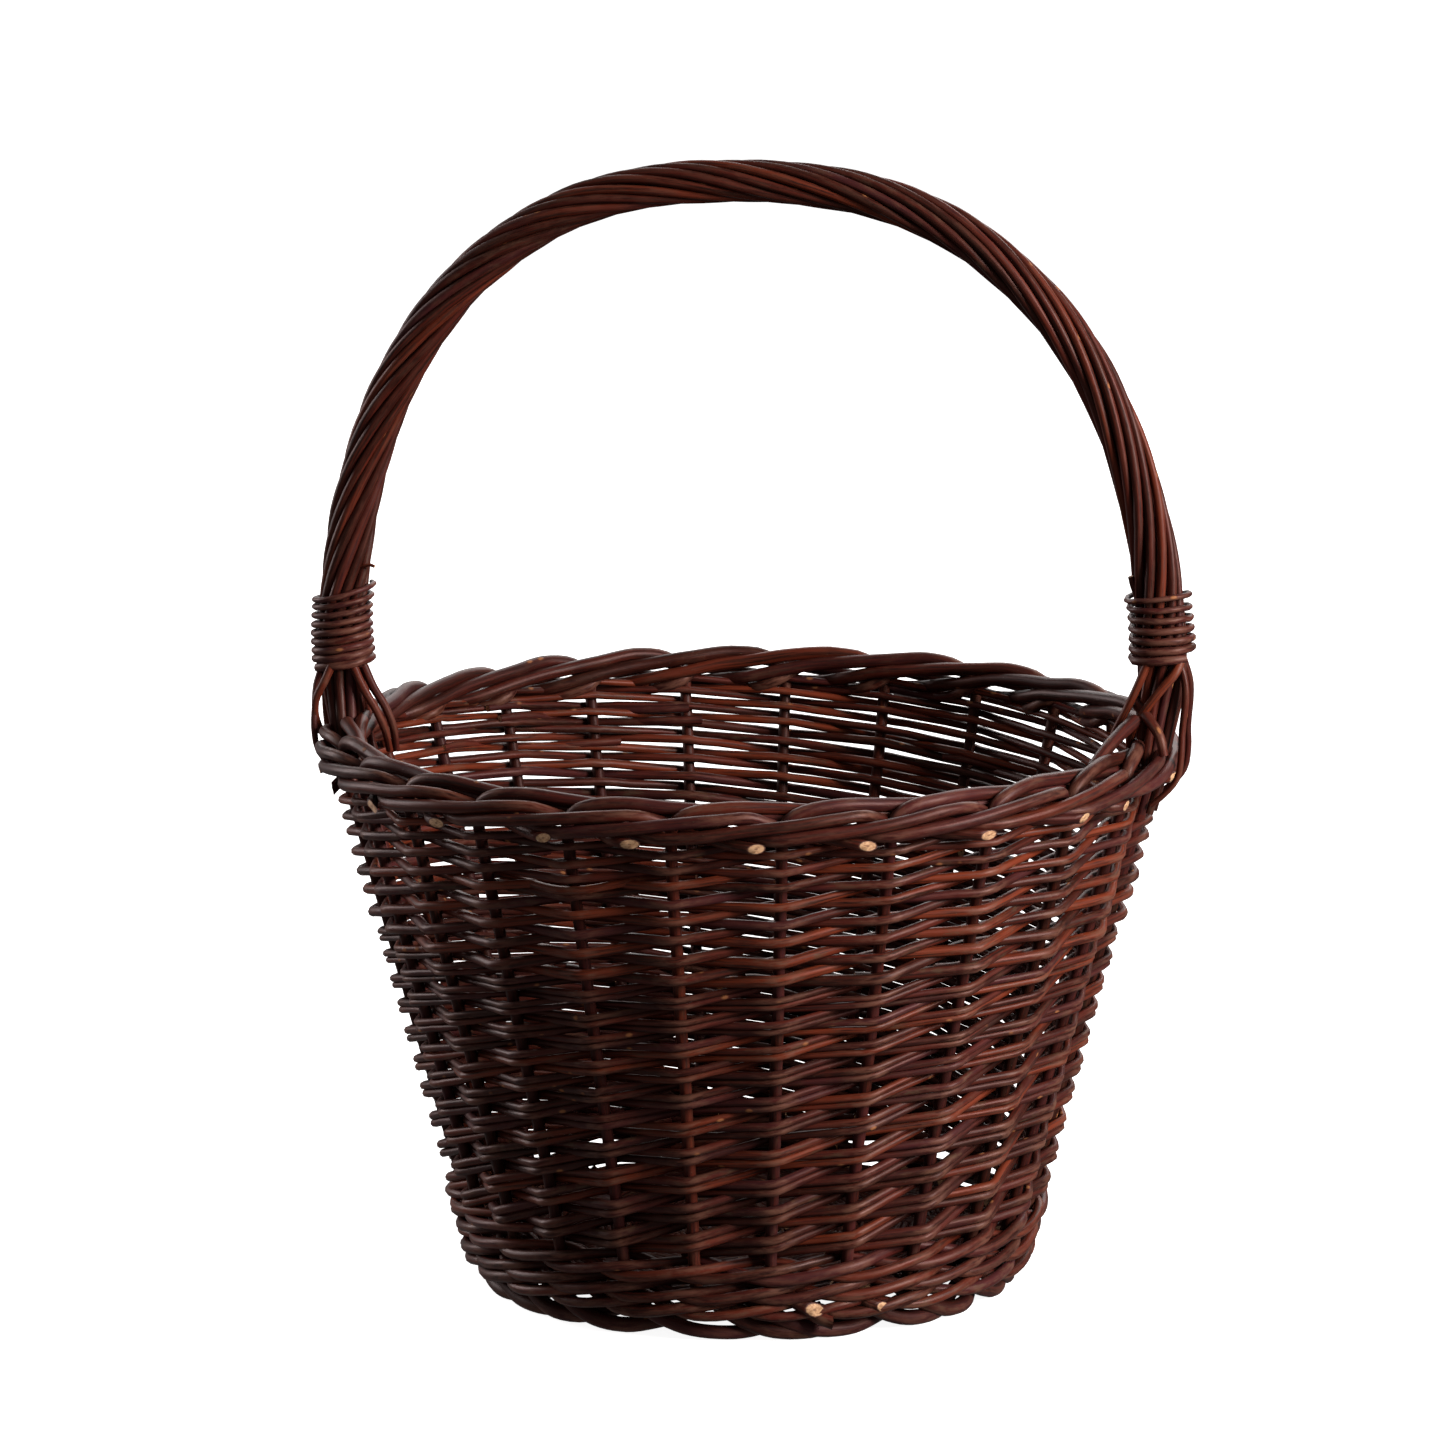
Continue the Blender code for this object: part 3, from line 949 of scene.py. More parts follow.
@dataclass
class Stakes:
    """The stakes, tucked into the base beside its sticks. Their tops are bent over to make the border."""

    wall: Wall
    tuck_radius: float = 0.098
    bend_start: float = 0.0085
    bend_middle: tuple[float, float] = (0.0012, 0.0030)
    upsett_height: float = 0.012
    bends: int = 7
    sheaf: Sheaf = field(default_factory=lambda: Sheaf(37, 0.16))

    def __post_init__(self) -> None:
        """Draws the rods, so that a stake and its border rod look alike."""
        self.casts = [self.sheaf.draw() for _ in range(self.wall.stakes)]

    def route(self, number: int) -> list[np.ndarray]:
        """A stake's route, from inside the base to the top of the weave.

        Args:
            number: The stake.

        Returns:
            The points that it passes through.
        """
        wall, level = self.wall, self.wall.base_level
        bearing = wall.bearing(number)
        points = [
            polar(self.tuck_radius, bearing, level),
            polar(wall.radius(level) - self.bend_start, bearing, level),
            polar(wall.radius(level) - self.bend_middle[0], bearing, level + self.bend_middle[1]),
        ]
        for z in np.linspace(level + self.upsett_height, wall.top, self.bends + 1)[:-1]:
            points.append(wall.place(number + self.sheaf.vary(0.012), z, self.sheaf.vary(0.0002)))
        return points + [wall.place(number, wall.top)]

    def build(self, palette: Palette) -> None:
        """Makes the stakes, a piece each.

        Args:
            palette: The materials.
        """
        ends = (self.wall.stake_radius * 1.04, self.wall.stake_radius)
        for number, cast in enumerate(self.casts):
            piece = Piece(f"stake_rod_{number + 1:02d}", Finish.DARK, 10)
            piece.weave_in(self.route(number), 0.006, ends, self.sheaf, 0.02, cast)
            piece.build(palette, f"stake_{number + 1:02d}")


@dataclass(frozen=True)
class Stub:
    """A rod's cut butt that shows outside the wale.

    Its place is its stake and height, and turn is how far its cut faces round from straight outwards.
    """

    stake: float
    z: float
    radius: float
    turn: float


@dataclass
class Wale:
    """Rows of waling at the wall's foot: three rods by turns, each in front of two stakes and behind one."""

    wall: Wall
    rod_radius: float = 0.0026
    rows: int = 3
    spaces_a_rod: int = 15
    spaces_short: int = 10
    starts: tuple[int, ...] = (-16, -19, -13)
    rises: Triple = (0.0, 0.44, 0.40)
    deepest: float = -0.06
    proud: float = 0.0006
    wobble: float = 0.0005
    stubs: tuple[Stub, ...] = (
        Stub(19.55, 0.0194, 0.0034, 0.25),
        Stub(20.47, 0.0179, 0.0025, 0.25),
        Stub(19.79, 0.0128, 0.0033, 1.45),
    )
    sheaf: Sheaf = field(default_factory=lambda: Sheaf(41, 0.30))

    def knee(self, strand: int, step: int) -> np.ndarray:
        """Where a strand crosses a stake.

        Args:
            strand: Which of the three strands it is.
            step: How many stakes it has passed.

        Returns:
            The point.
        """
        low, high = box("upsett_wale")
        row_pitch = (high.z - low.z - self.rod_radius) / self.rows
        phase = step % 3
        climbed = max(step / self.wall.stakes, self.deepest)
        height = low.z + self.rod_radius * 0.9 + row_pitch * (climbed + self.rises[phase])
        gap = self.wall.stake_radius + self.rod_radius
        out = (gap + self.proud, gap + self.proud, -gap)[phase]
        z = min(height + self.sheaf.vary(self.wobble), high.z - self.rod_radius * 0.6)
        return self.wall.place(strand + step, z, out + self.sheaf.vary(0.0003))

    def build(self, palette: Palette) -> None:
        """Makes the wale, as one piece.

        Args:
            palette: The materials.
        """
        piece = Piece("upsett_wale_rods", Finish.RED, 10)
        steps = self.rows * self.wall.stakes - self.spaces_short
        for strand, start in enumerate(self.starts):
            while start < steps:
                stop = min(start + self.spaces_a_rod, steps)
                knees = [self.knee(strand, step) for step in range(start, stop + 1)]
                radius = self.sheaf.about(self.rod_radius, 0.06)
                piece.weave_in(knees, 0.0052, (radius * 1.08, radius * 0.86), self.sheaf)
                start = stop
        for stub in self.stubs:
            points = [
                self.wall.place(stub.stake - 0.30, stub.z + 0.0022, 0.0),
                self.wall.place(stub.stake - 0.14, stub.z + 0.0010, 0.0068),
                self.wall.place(stub.stake, stub.z, 0.0096),
            ]
            facing = unit(polar(1.0, self.wall.bearing(stub.stake) + stub.turn, -0.1))
            piece.weave_in(points, 0.002, (stub.radius, stub.radius), self.sheaf, facing=facing)
        piece.build(palette, "upsett_wale")


@dataclass
class Randing:
    """A block of randing in which every stake starts its own weaver, and all of them climb round together.

    A weaver passes in front of one stake and behind the next, and is a layer higher at every other stake.
    It is one rod, or two or more laid side by side.
    """

    wall: Wall
    name: str
    node: str
    finish: Finish
    steps: int
    strands: int
    butt_radius: float
    tip_radius: float
    narrowing: float
    past_top: float
    seed: int
    pieced: tuple[tuple[float, float], ...] = ()
    pieced_ends: tuple[float, float] = (0.0022, 0.0017)
    pieced_route: tuple[Triple, ...] = (
        (-0.14, 0, -0.0068), (0.05, 0, -0.0066), (1, 1, 0.0052), (2, 3, -0.0052), (2.2, 3, -0.0056)
    )
    unevenness: float = 0.0007
    warmth: float = 0.25
    proud: float = 0.0013
    softness: float = 0.095
    tremor: float = 0.00012

    def __post_init__(self) -> None:
        """Sorts out the willow for this block."""
        self.sheaf = Sheaf(self.seed, self.warmth)

    def height(self, step: int) -> float:
        """The height of a weaver at a stake; the layers lie closer together towards the top.

        Args:
            step: How many stakes it has passed.

        Returns:
            The height.
        """
        low, high = box(self.node)
        start = low.z + self.butt_radius * (1.7 if self.strands > 1 else 0.9)
        end = high.z + self.past_top
        share = step / self.steps
        eased = share * (1 + self.narrowing) - self.narrowing * share * share
        return start + (end - start) * eased

    def knees(self, first: int, butts: list[float], tips: list[float]) -> tuple[list[Triple], list[float]]:
        """Where a weaver's middle bends, with its two ends resting behind a stake.

        Args:
            first: The stake that it starts at.
            butts: Its rods' radii at the thick end.
            tips: Their radii at the thin end.

        Returns:
            Each knee's stake, height and distance out of the wall, and the rods' mean radius there.
        """
        knees, sizes = [], []
        for step in range(-1, self.steps + 1):
            share = (step + 1) / (self.steps + 1)
            size = sum(r + (t - r) * share for r, t in zip(butts, tips)) / self.strands
            gap = self.wall.stake_radius + size
            out = gap + self.proud if step % 2 == 0 else -gap - 0.0001
            z = self.height(step) + self.sheaf.vary(self.unevenness)
            knees.append((first + step + self.sheaf.vary(0.012), z, out + self.sheaf.vary(0.00025)))
            sizes.append(size)
        stake, z, out = knees[0]
        knees.insert(0, (stake - self.sheaf.about(0.24, 0.4), z, out - 0.0012))
        stake, z, out = knees[-1]
        knees.append((stake + self.sheaf.about(0.22, 0.5), z, out - 0.0008))
        return knees, [sizes[0], *sizes, sizes[-1]]

    def add_weaver(self, piece: Piece, first: int) -> None:
        """Adds one weaver's rods.

        Args:
            piece: The piece that they are added to.
            first: The stake that they start at.
        """
        butts = [self.sheaf.about(self.butt_radius, 0.09) for _ in range(self.strands)]
        tips = [self.sheaf.about(self.tip_radius, 0.12) for _ in range(self.strands)]
        casts = [self.sheaf.draw() for _ in range(self.strands)]
        knees, sizes = self.knees(first, butts, tips)
        for strand in range(self.strands):
            aside = strand - (self.strands - 1) / 2
            places = []
            for (stake, z, out), size in zip(knees, sizes):
                twist = self.sheaf.vary(0.22) * aside
                climb = aside * 2.02 * size * math.cos(twist)
                z_here = z + climb * math.cos(self.wall.lean) + self.sheaf.vary(0.0002)
                places.append(self.wall.place(stake, z_here, out + size * twist))
            line, passed = kneed_line(np.array(places), self.softness, 2)
            line = line + self.sheaf.chance.normal(0.0, self.tremor, line.shape)
            piece.add(line, tapered(passed, butts[strand], tips[strand], self.sheaf, 0.035), casts[strand])

    def build(self, palette: Palette) -> None:
        """Makes the block, as one piece.

        Args:
            palette: The materials.
        """
        piece = Piece(self.name, self.finish, 8)
        for first in range(self.wall.stakes):
            self.add_weaver(piece, first)
        for stake, z in self.pieced:
            points = [
                self.wall.place(stake + ahead, z + layers * self.butt_radius, out)
                for ahead, layers, out in self.pieced_route
            ]
            piece.weave_in(points, 0.005, self.pieced_ends, self.sheaf)
        piece.build(palette, self.node)


# Border


@dataclass
class RimBorder:
    """The rim: each stake's top goes behind one, in front of two and behind one, and is cut off outside."""

    wall: Wall
    stakes: Stakes
    rod_radius: float = 0.00335
    tip_radius: float = 0.0025
    depth: float = 0.0103
    reach: float = 5.72
    height_share: float = 0.90
    height_swing: float = 0.11
    sheaf: Sheaf = field(default_factory=lambda: Sheaf(53, 0.2))

    def stations(self, stake: float, end: float) -> tuple[Triple, ...]:
        """The places that a border rod passes through.

        Args:
            stake: How far out of the border's middle the stakes stand.
            end: How many spaces on it is cut off.

        Returns:
            How many spaces on, how far out and how high each place is.
        """
        return (
            (0.00, stake, -0.0010),
            (0.00, stake, 0.0050),
            (0.06, stake + 0.0001, 0.0108),
            (0.20, stake + 0.0002, 0.0153),
            (0.46, -0.0044, 0.0178),
            (0.96, -0.0084, 0.0164),
            (1.35, -0.0092, 0.0146),
            (1.70, -0.0094, 0.0126),
            (2.02, -0.0093, 0.0100),
            (2.36, -0.0064, 0.0066),
            (2.65, 0.0002, 0.0034),
            (2.92, 0.0055, 0.0022),
            (3.25, 0.0072, 0.0042),
            (3.65, 0.0076, 0.0074),
            (4.05, 0.0070, 0.0104),
            (4.45, 0.0054, 0.0132),
            (4.72, 0.0016, 0.0130),
            (4.90, -0.0038, 0.0094),
            (5.06, -0.0086, 0.0052),
            (5.26, -0.0064, 0.0018),
            (end - 0.20, 0.0030, -0.0004),
            (end, 0.0084, -0.0012),
        )

    def route(self, number: int) -> tuple[np.ndarray, np.ndarray]:
        """A border rod's route.

        Args:
            number: The stake that it is the top of.

        Returns:
            The points that it passes through, and the way its cut end faces.
        """
        low, high = box("rim_border")
        middle = high.x - self.depth
        end = self.reach + self.sheaf.vary(0.24)
        points = []
        for ahead, out, height in self.stations(self.wall.radius(low.z) - middle, end):
            free = 1.0 if ahead > 0.3 else 0.0
            shift = self.sheaf.vary(0.0006) * free
            angle = self.wall.bearing(number + ahead)
            tall = self.height_share + self.height_swing * math.sin(angle)
            z = low.z + height * tall + self.sheaf.vary(0.0005) * free
            points.append(polar(middle + out + shift, angle, z))
        bearing = self.wall.bearing(number + end) + self.sheaf.vary(0.25)
        return np.array(points), unit(polar(1.0, bearing, -0.22 + self.sheaf.vary(0.15)))

    def build(self, palette: Palette) -> None:
        """Makes the border, as one piece.

        Args:
            palette: The materials.
        """
        piece = Piece("rim_border_rods", Finish.SIDE, 12)
        for number, cast in enumerate(self.stakes.casts):
            points, facing = self.route(number)
            line, passed = smooth_line(points, 0.0042)
            radius = self.sheaf.about(self.rod_radius, 0.05)
            radii = tapered(passed, radius, self.tip_radius, self.sheaf, 0.015)
            radii[:4] = np.linspace(self.wall.stake_radius, radii[4], 4)
            piece.add(line, radii, cast, facing)
        piece.build(palette, "rim_border")


# Handle


class Side(Enum):
    """The handle's two feet."""

    LEFT = "left"
    RIGHT = "right"

    @property
    def sign(self) -> int:
        """Which way along X the foot is."""
        return -1 if self is Side.LEFT else 1


@dataclass(frozen=True)
class Tie:
    """How one foot is bound: the tie's turns, their distance from the leg's middle, and the rods' own."""

    turns: float
    orbit: float
    leg_orbit: float


@dataclass(frozen=True)
class Wand:
    """A thin rod at the handle's foot. Its points are how far out of the leg's middle, across it and up."""

    radius: float
    warm: float
    route: tuple[Triple, ...]


TIES = {Side.LEFT: Tie(8.5, 0.0128, 0.0084), Side.RIGHT: Tie(6.5, 0.0135, 0.0092)}

WANDS = {
    (Side.RIGHT, 1): (
        Wand(0.0022, 0.8, (
            (0.0100, -0.0070, 0.2960), (0.0080, -0.0118, 0.2900), (0.0020, -0.0142, 0.2820),
            (-0.0040, -0.0140, 0.2730), (-0.0086, -0.0120, 0.2640), (-0.0100, -0.0060, 0.2540),
        )),
        Wand(0.0033, 0.1, (
            (-0.0080, -0.0150, 0.2680), (-0.0125, -0.0260, 0.2640), (-0.0165, -0.0400, 0.2590),
            (-0.0200, -0.0520, 0.2530),
        )),
        Wand(0.0020, 0.5, (
            (-0.0045, -0.0115, 0.2950), (-0.0085, -0.0125, 0.2840), (-0.0130, -0.0115, 0.2720),
            (-0.0175, -0.0090, 0.2600), (-0.0190, -0.0040, 0.2480),
        )),
    ),
    (Side.RIGHT, 2): (
        Wand(0.0026, 0.2, (
            (-0.0110, -0.0060, 0.2760), (-0.0020, -0.0160, 0.2690), (0.0050, -0.0230, 0.2620),
            (0.0080, -0.0240, 0.2540),
        )),
        Wand(0.0016, 0.0, (
            (-0.0085, -0.0050, 0.3220), (-0.0102, -0.0055, 0.3280), (-0.0106, -0.0060, 0.3320),
        )),
    ),
    (Side.LEFT, 1): (
        Wand(0.0022, 0.1, (
            (-0.0105, -0.0050, 0.2790), (-0.0140, -0.0060, 0.2700), (-0.0185, -0.0060, 0.2610),
            (-0.0205, -0.0040, 0.2510), (-0.0190, 0.0000, 0.2400),
        )),
        Wand(0.0021, 0.3, (
            (-0.0070, -0.0095, 0.2790), (-0.0105, -0.0105, 0.2700), (-0.0150, -0.0100, 0.2600),
            (-0.0172, -0.0070, 0.2500), (-0.0165, -0.0020, 0.2400),
        )),
    ),
    (Side.LEFT, 2): (
        Wand(0.0020, 0.4, (
            (0.0030, -0.0125, 0.2800), (0.0065, -0.0140, 0.2730), (0.0110, -0.0130, 0.2660),
            (0.0135, -0.0110, 0.2580), (0.0135, -0.0060, 0.2480),
        )),
        Wand(0.0009, 0.4, (
            (-0.0080, -0.0040, 0.3250), (-0.0120, -0.0050, 0.3262), (-0.0145, -0.0055, 0.3255),
        )),
    ),
}


@dataclass
class Handle:
    """The handle: a stout bow, eleven rods roped round it, a tie round each foot and the loose ends below."""

    wall: Wall
    core_radius: float = 0.0062
    inner_core_radius: float = 0.0055
    core_tip_radius: float = 0.003
    core_taper: tuple[float, float] = (0.19, 0.08)
    spring_z: float = 0.262
    squareness: float = 2.38
    leg_z: float = 0.300
    rod_count: int = 11
    rod_radius: float = 0.00218
    orbit: float = 0.0077
    leg_swell: tuple[float, float] = (0.410, 0.080)
    leg_stoutness: float = 0.06
    taper: float = 0.08
    sway: float = 0.05
    lift: float = 0.00035
    foot_orbit: float = 0.0062
    foot_spread: float = 0.0150
    end_z: float = 0.226
    turn_rate: float = 30.0
    turn_slowing: float = 10.0
    slow_span: tuple[float, float] = (0.5, 0.28)
    rope_span: tuple[float, float] = (0.268, 0.020)
    tie_butt: float = 0.00215
    tie_tip: float = 0.00125
    tie_start: float = 0.0014
    tie_margin: float = 0.0026
    tie_opening: float = 1.06
    tie_slack: float = 0.0009
    tie_slope: float = 0.0015
    loose_slope: float = 0.0016
    points_a_turn: int = 16
    sheaf: Sheaf = field(default_factory=lambda: Sheaf(67, 0.20))

    def __post_init__(self) -> None:
        """Reads the bow's size from the frame."""
        high = box("handle_core")[1]
        self.half_width = high.x - self.core_radius
        self.rise = high.z - self.core_radius - self.spring_z
        self.rim_low = box("rim_border")[0].z
        self.bands = {side: box(f"handle_tie_{side.value}") for side in Side}

    def arch_x(self, z: float) -> float:
        """Half the arch's width at a height."""
        share = min(max((z - self.spring_z) / self.rise, 0.0), 1.0)
        return self.half_width * (1 - share**self.squareness) ** (1 / self.squareness)

    def leg_x(self, z: float) -> float:
        """How far a leg's middle is from the basket's axis.

        Args:
            z: The height.

        Returns:
            The wall's radius below the border, the arch's from leg_z up, and a curve between them.
        """
        if z < self.rim_low:
            return self.wall.radius(z)
        if z > self.leg_z:
            return self.arch_x(z)
        share = (z - self.rim_low) / (self.leg_z - self.rim_low)
        neck = self.wall.radius(self.rim_low)
        return neck + (self.arch_x(self.leg_z) - neck) * math.sin(share * math.pi / 2)

    def middle_line(self, low_z: float, spacing: float) -> np.ndarray:
        """The handle's middle line from its left foot to its right foot.

        Args:
            low_z: The height of its two ends.
            spacing: About how far apart its points are.

        Returns:
            The points, evenly spaced.
        """
        low = np.linspace(low_z, self.leg_z, 30)[:-1]
        start = math.asin(((self.leg_z - self.spring_z) / self.rise) ** (self.squareness / 2))
        angles = np.linspace(start, math.pi / 2, 160)
        quarter = [(self.leg_x(z), z) for z in low]
        power = 2 / self.squareness
        quarter += [
            (self.half_width * math.cos(a) ** power, self.spring_z + self.rise * math.sin(a) ** power)
            for a in angles[:-1]
        ]
        quarter.append((0.0, self.spring_z + self.rise))
        half = np.array(quarter)
        whole = np.vstack((half * (-1, 1), half[-2::-1]))
        line = np.column_stack((whole[:, 0], np.zeros(len(whole)), whole[:, 1]))
        distance = lengths_along(line)
        count = int(round(distance[-1] / spacing)) + 1
        even = np.linspace(0.0, distance[-1], count)
        return np.column_stack([np.interp(even, distance, line[:, axis]) for axis in range(3)])

    def outward(self, line: np.ndarray) -> np.ndarray:
        """At each point of the line, the direction out of the arch."""
        along = unit(np.gradient(line, axis=0))
        return np.column_stack((-along[:, 2], np.zeros(len(line)), along[:, 0]))

    def turned(self, line: np.ndarray) -> np.ndarray:
        """How far round the bow a rod turns: faster on the left than on the right, and not below the ties.

        Args:
            line: The handle's middle line.

        Returns:
            The angle at each of its points.
        """
        distance = lengths_along(line)
        share = distance / distance[-1]
        rate = self.turn_rate - self.turn_slowing * ramp(share, *self.slow_span)
        rate = rate * ramp(line[:, 2], *self.rope_span)
        return np.concatenate(([0.0], np.cumsum((rate[1:] + rate[:-1]) / 2 * np.diff(distance))))

    def on_leg(self, line: np.ndarray) -> np.ndarray:
        """How far each point is into the thicker legs, from 0 on the arch to 1."""
        start, length = self.leg_swell
        return np.clip((start - line[:, 2]) / length, 0.0, 1.0)

    def spread(self, line: np.ndarray) -> tuple[np.ndarray, np.ndarray]:
        """How far a rod is from the bow's middle, where the rope opens below the ties.

        Args:
            line: The handle's middle line.

        Returns:
            The distance out of the arch and across it, at each point.
        """
        z, on_leg = line[:, 2], self.on_leg(line)
        orbit, below = np.empty(len(line)), np.empty(len(line))
        for side, (band_low, _) in self.bands.items():
            mask = line[:, 0] * side.sign >= 0
            orbit[mask] = self.orbit + (TIES[side].leg_orbit - self.orbit) * on_leg[mask]
            below[mask] = np.clip((band_low.z - z[mask]) / (band_low.z - self.rim_low - 0.004), 0.0, 1.0)
        eased = below * below * (3 - 2 * below)
        return orbit + (self.foot_orbit - orbit) * eased, orbit + (self.foot_spread - orbit) * eased

    def build_core(self, palette: Palette) -> None:
        """Makes the bow, pointed at both ends and pushed down into the weave.

        Args:
            palette: The materials.
        """
        line = self.middle_line(box("handle_core")[0].z, 0.008)
        share = ramp(line[:, 2], *self.core_taper)
        radii = self.core_tip_radius + (self.inner_core_radius - self.core_tip_radius) * share
        piece = Piece("handle_bow", Finish.HANDLE, 10)
        piece.add(line, radii, self.sheaf.draw())
        piece.build(palette, "handle_core")

    def build_rods(self, palette: Palette) -> None:
        """Makes the roped rods, a piece each, from inside the border over the arch to inside the border.

        Args:
            palette: The materials.
        """
        line = self.middle_line(self.end_z, 0.0052)
        outward = self.outward(line)
        turned = self.turned(line)
        out_reach, across_reach = self.spread(line)
        distance = lengths_along(line)
        radii = [self.sheaf.about(self.rod_radius, 0.07) for _ in range(self.rod_count)]
        widths = np.cumsum([0.0] + radii) * 2
        places = (widths[:-1] + widths[1:]) / 2 * math.tau / widths[-1]
        for number in range(self.rod_count):
            sway = self.sway * np.sin(distance * self.sheaf.about(31.0, 0.3) + number * 2.1)
            lift = self.lift * np.sin(distance * self.sheaf.about(47.0, 0.3) + number * 1.3)
            phase = places[number] + turned + sway
            out = outward * (np.cos(phase) * (out_reach + lift))[:, None]
            across = np.outer(-np.sin(phase) * (across_reach + lift), (0.0, 1.0, 0.0))
            taper = 1 + self.taper * np.cos(distance / distance[-1] * math.pi * (1 if number % 2 else -1))
            taper += self.leg_stoutness * self.on_leg(line)
            uneven = 1 + 0.02 * self.sheaf.chance.normal(0.0, 0.5, len(line))
            piece = Piece(f"handle_strand_{number + 1:02d}", Finish.HANDLE, 10)
            piece.add(line + out + across, radii[number] * taper * uneven, self.sheaf.draw())
            piece.build(palette, f"handle_rod_{number + 1:02d}")

    def build_tie(self, side: Side, palette: Palette) -> None:
        """Binds one foot of the handle with a thin rod, whose thinner end finishes loosely at the top.

        Args:
            side: The foot.
            palette: The materials.
        """
        tie = TIES[side]
        low, high = self.bands[side]
        steps = int(tie.turns * self.points_a_turn)
        climb = high.z - low.z - self.tie_butt - self.tie_tip - self.tie_margin
        points = []
        for step in range(steps + 1):
            share = step / steps
            z = low.z + self.tie_butt + self.tie_start + climb * share**self.tie_opening
            phase = math.tau * tie.turns * share + 0.6
            slack = self.tie_slack * max(0.0, share - 0.78) / 0.22
            reach = tie.orbit + slack + self.sheaf.vary(0.00015)
            loose = max(0.0, share - 0.80) / 0.20
            slope = self.tie_slope + self.loose_slope * loose
            tilt = side.sign * slope * math.cos(phase) + self.sheaf.vary(0.0003)
            middle = np.array((side.sign * self.leg_x(z), 0.0, z))
            points.append(middle + (side.sign * reach * math.cos(phase), -reach * math.sin(phase), tilt))
        piece = Piece(f"foot_tie_{side.value}", Finish.RED, 8)
        piece.weave_in(points, 0.0045, (self.tie_butt, self.tie_tip), self.sheaf)
        piece.build(palette, f"handle_tie_{side.value}")

    def build_tails(self, side: Side, palette: Palette) -> None:
        """Makes the two thin ends that come down outside the border from under a tie and turn in below it.

        Args:
            side: The foot.
            palette: The materials.
        """
        rim_low, rim_high = box("rim_border")
        tie_low = self.bands[side][0].z
        leg = self.leg_x(tie_low)
        outside = rim_high.x + 0.0016
        for number, across in ((1, -0.012), (2, 0.012)):
            points = np.array((
                (leg + 0.0085, across * 0.45, tie_low + 0.004),
                (leg + 0.0115, across * 0.62, tie_low - 0.006),
                (outside + 0.0012, across * 0.85, rim_high.z - 0.002),
                (outside + 0.0012, across, (rim_low.z + rim_high.z) / 2),
                (outside - 0.0006, across * 1.08, rim_low.z + 0.001),
                (outside - 0.0062, across * 1.2, rim_low.z - 0.006),
                (outside - 0.0120, across * 1.3, rim_low.z - 0.011),
            ))
            piece = Piece(f"loose_end_{side.value}_{number}", Finish.SIDE, 8)
            piece.weave_in(points * (side.sign, 1, 1), 0.003, (0.0018, 0.0013), self.sheaf)
            for wand in WANDS[side, number]:
                points = [(side.sign * (self.leg_x(z) + out), y, z) for out, y, z in wand.route]
                cast = Cast(wand.warm, 0.3, 0.1, 40.0 * len(points))
                piece.weave_in(points, 0.003, (wand.radius, 0.85 * wand.radius), self.sheaf, cast=cast)
            piece.build(palette, f"handle_tail_{side.value}_{number}")

    def build(self, palette: Palette) -> None:
        """Makes the handle and its fastenings.

        Args:
            palette: The materials.
        """
        self.build_core(palette)
        self.build_rods(palette)
        for side in Side:
            self.build_tie(side, palette)
        for side in Side:
            self.build_tails(side, palette)


# Studio


@dataclass(frozen=True)
class Softbox:
    """A soft light: its name, place, size, power in watts and colour."""

    name: str
    place: Triple
    size: tuple[float, float]
    power: float
    colour: Triple

    def hang(self, aim: Triple) -> None:
        """Hangs the light.

        Args:
            aim: The point that it faces.
        """
        light = bpy.data.lights.new(self.name, "AREA")
        light.shape = "RECTANGLE"
        light.size, light.size_y = self.size
        light.energy = self.power
        light.color = self.colour
        lamp = bpy.data.objects.new(self.name, light)
        bpy.context.scene.collection.objects.link(lamp)
        lamp.location = self.place
        towards = np.array(aim) - np.array(self.place)
        flat = math.hypot(towards[0], towards[1])
        lamp.rotation_euler = (math.atan2(flat, -towards[2]), 0.0, math.atan2(-towards[0], towards[1]))
        lamp.visible_camera = False


SOFTBOXES = (
    Softbox("softbox_back", (-0.2, 2.6, 1.7), (3.0, 1.6), 50.0, (1.0, 0.98, 0.97)),
    Softbox("softbox_key", (2.35, -0.85, 1.25), (0.9, 1.2), 124.0, (1.0, 0.94, 0.91)),
    Softbox("softbox_left", (-2.4, 0.9, 0.9), (0.6, 1.6), 32.0, (1.0, 0.92, 0.92)),
)


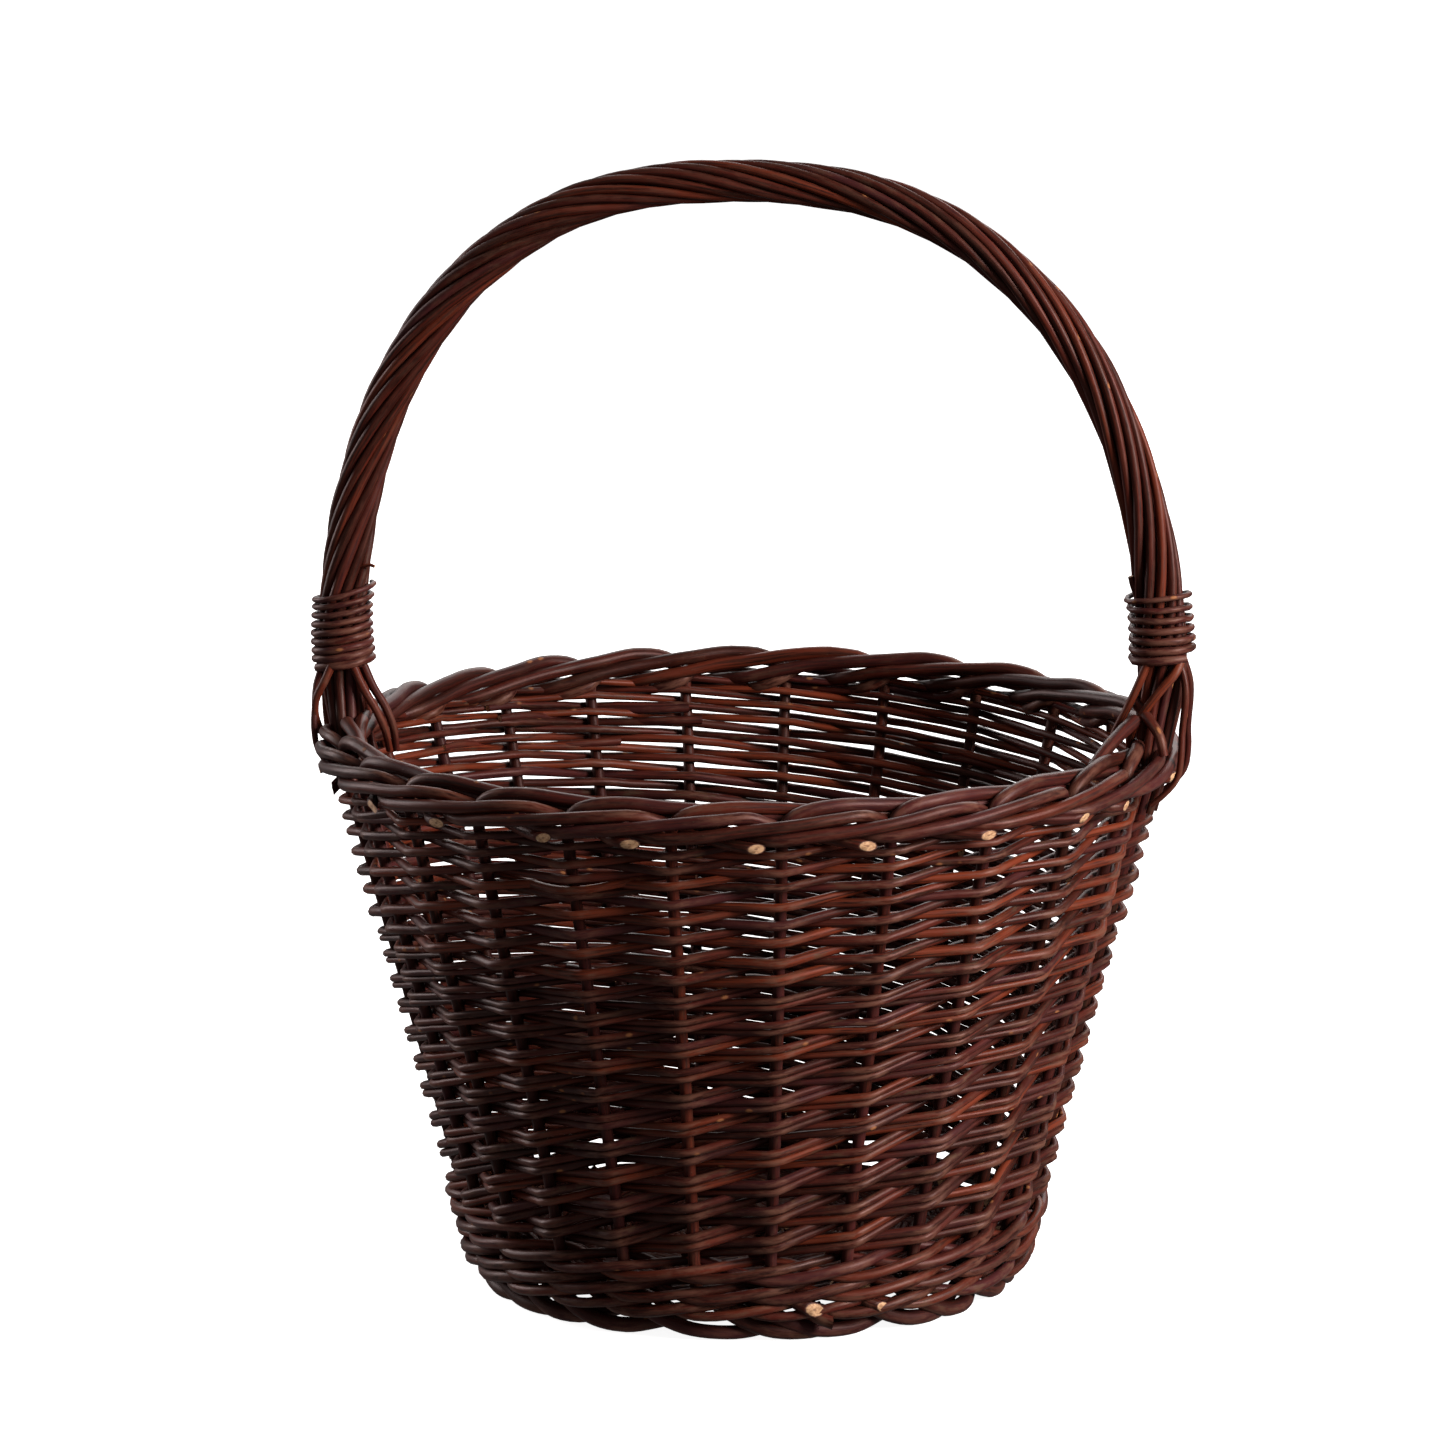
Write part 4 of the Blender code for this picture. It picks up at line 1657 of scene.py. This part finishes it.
@dataclass(frozen=True)
class Studio:
    """A pale floor, white surroundings, soft lights and the camera."""

    floor_radius: float = 14.0
    floor_white: Colour = (0.90, 0.90, 0.90, 1.0)
    floor_roughness: float = 0.9
    floor_glow: float = 0.92
    distance: float = 3.6
    camera_z: float = 0.9343
    azimuth: float = math.radians(10.53)
    pitch: float = math.radians(10.638)
    aside: float = math.radians(0.186)
    lens: float = 200.8
    sensor: float = 36.0
    surround: float = 0.165
    surround_white: Colour = (1.0, 0.985, 0.98, 1.0)
    aim: Triple = (0.0, 0.0, 0.25)

    def build_floor(self) -> None:
        """Lays the floor, which glows a little and isn't seen in reflections."""
        shape = bmesh.new()
        bmesh.ops.create_circle(shape, cap_ends=True, segments=96, radius=self.floor_radius)
        mesh = bpy.data.meshes.new("studio_floor")
        shape.to_mesh(mesh)
        shape.free()
        floor = bpy.data.objects.new("studio_floor", mesh)
        bpy.context.scene.collection.objects.link(floor)
        floor.visible_diffuse = False
        floor.visible_glossy = False
        material, shading = new_material("studio_floor")
        shading.surface({
            "Base Color": self.floor_white,
            "Roughness": self.floor_roughness,
            "Emission Color": (1.0, 1.0, 1.0, 1.0),
            "Emission Strength": self.floor_glow,
        })
        mesh.materials.append(material)

    def build_world(self) -> None:
        """Makes the surroundings white to look at, and dimmer as a light."""
        world = bpy.data.worlds.new("studio_white")
        world.use_nodes = True
        shading = Shading(world.node_tree)
        seen = Value(shading, shading.node("ShaderNodeLightPath").outputs["Is Camera Ray"])
        strength = seen * (1.0 - self.surround) + self.surround
        values = {"Color": self.surround_white, "Strength": strength}
        background = shading.node("ShaderNodeBackground", None, values)
        shading.node("ShaderNodeOutputWorld", None, {"Surface": background.outputs[0]})
        bpy.context.scene.world = world

    def build_camera(self) -> None:
        """Sets the camera."""
        data = bpy.data.cameras.new("camera")
        data.lens = self.lens
        data.sensor_width = self.sensor
        data.sensor_fit = "HORIZONTAL"
        camera = bpy.data.objects.new("camera", data)
        bpy.context.scene.collection.objects.link(camera)
        across, back = math.sin(self.azimuth), -math.cos(self.azimuth)
        camera.location = (self.distance * across, self.distance * back, self.camera_z)
        camera.rotation_euler = (math.pi / 2 - self.pitch, 0.0, self.azimuth + self.aside)
        bpy.context.scene.camera = camera

    def build(self) -> None:
        """Makes the studio."""
        bpy.context.scene.view_settings.view_transform = "Standard"
        self.build_floor()
        self.build_world()
        for softbox in SOFTBOXES:
            softbox.hang(self.aim)
        self.build_camera()


def main() -> None:
    """Builds the basket and its studio."""
    logging.basicConfig(level=logging.INFO, format="%(message)s")
    palette = Palette()
    Studio().build()
    wall = Wall()
    Base(wall).build(palette)
    FootBorder(wall).build(palette)
    stakes = Stakes(wall)
    stakes.build(palette)
    Wale(wall).build(palette)
    Randing(
        wall, "lower_weave_rods", "lower_weave", Finish.SIDE, steps=19, strands=2, butt_radius=0.00225,
        tip_radius=0.00145, narrowing=0.16, past_top=-0.0026, seed=71,
    ).build(palette)
    Randing(
        wall, "upper_weave_rods", "upper_weave", Finish.RED, steps=17, strands=1, butt_radius=0.0027,
        tip_radius=0.0016, narrowing=0.20, past_top=0.0058, seed=83, unevenness=0.0009, warmth=0.30,
        pieced=((7.92, 0.2175), (7.0, 0.2256), (7.14, 0.2310), (2.0, 0.205), (12.9, 0.2260), (16.0, 0.213)),
    ).build(palette)
    RimBorder(wall, stakes).build(palette)
    Handle(wall).build(palette)
    Mould.clear()


if __name__ == "__main__":
    main()
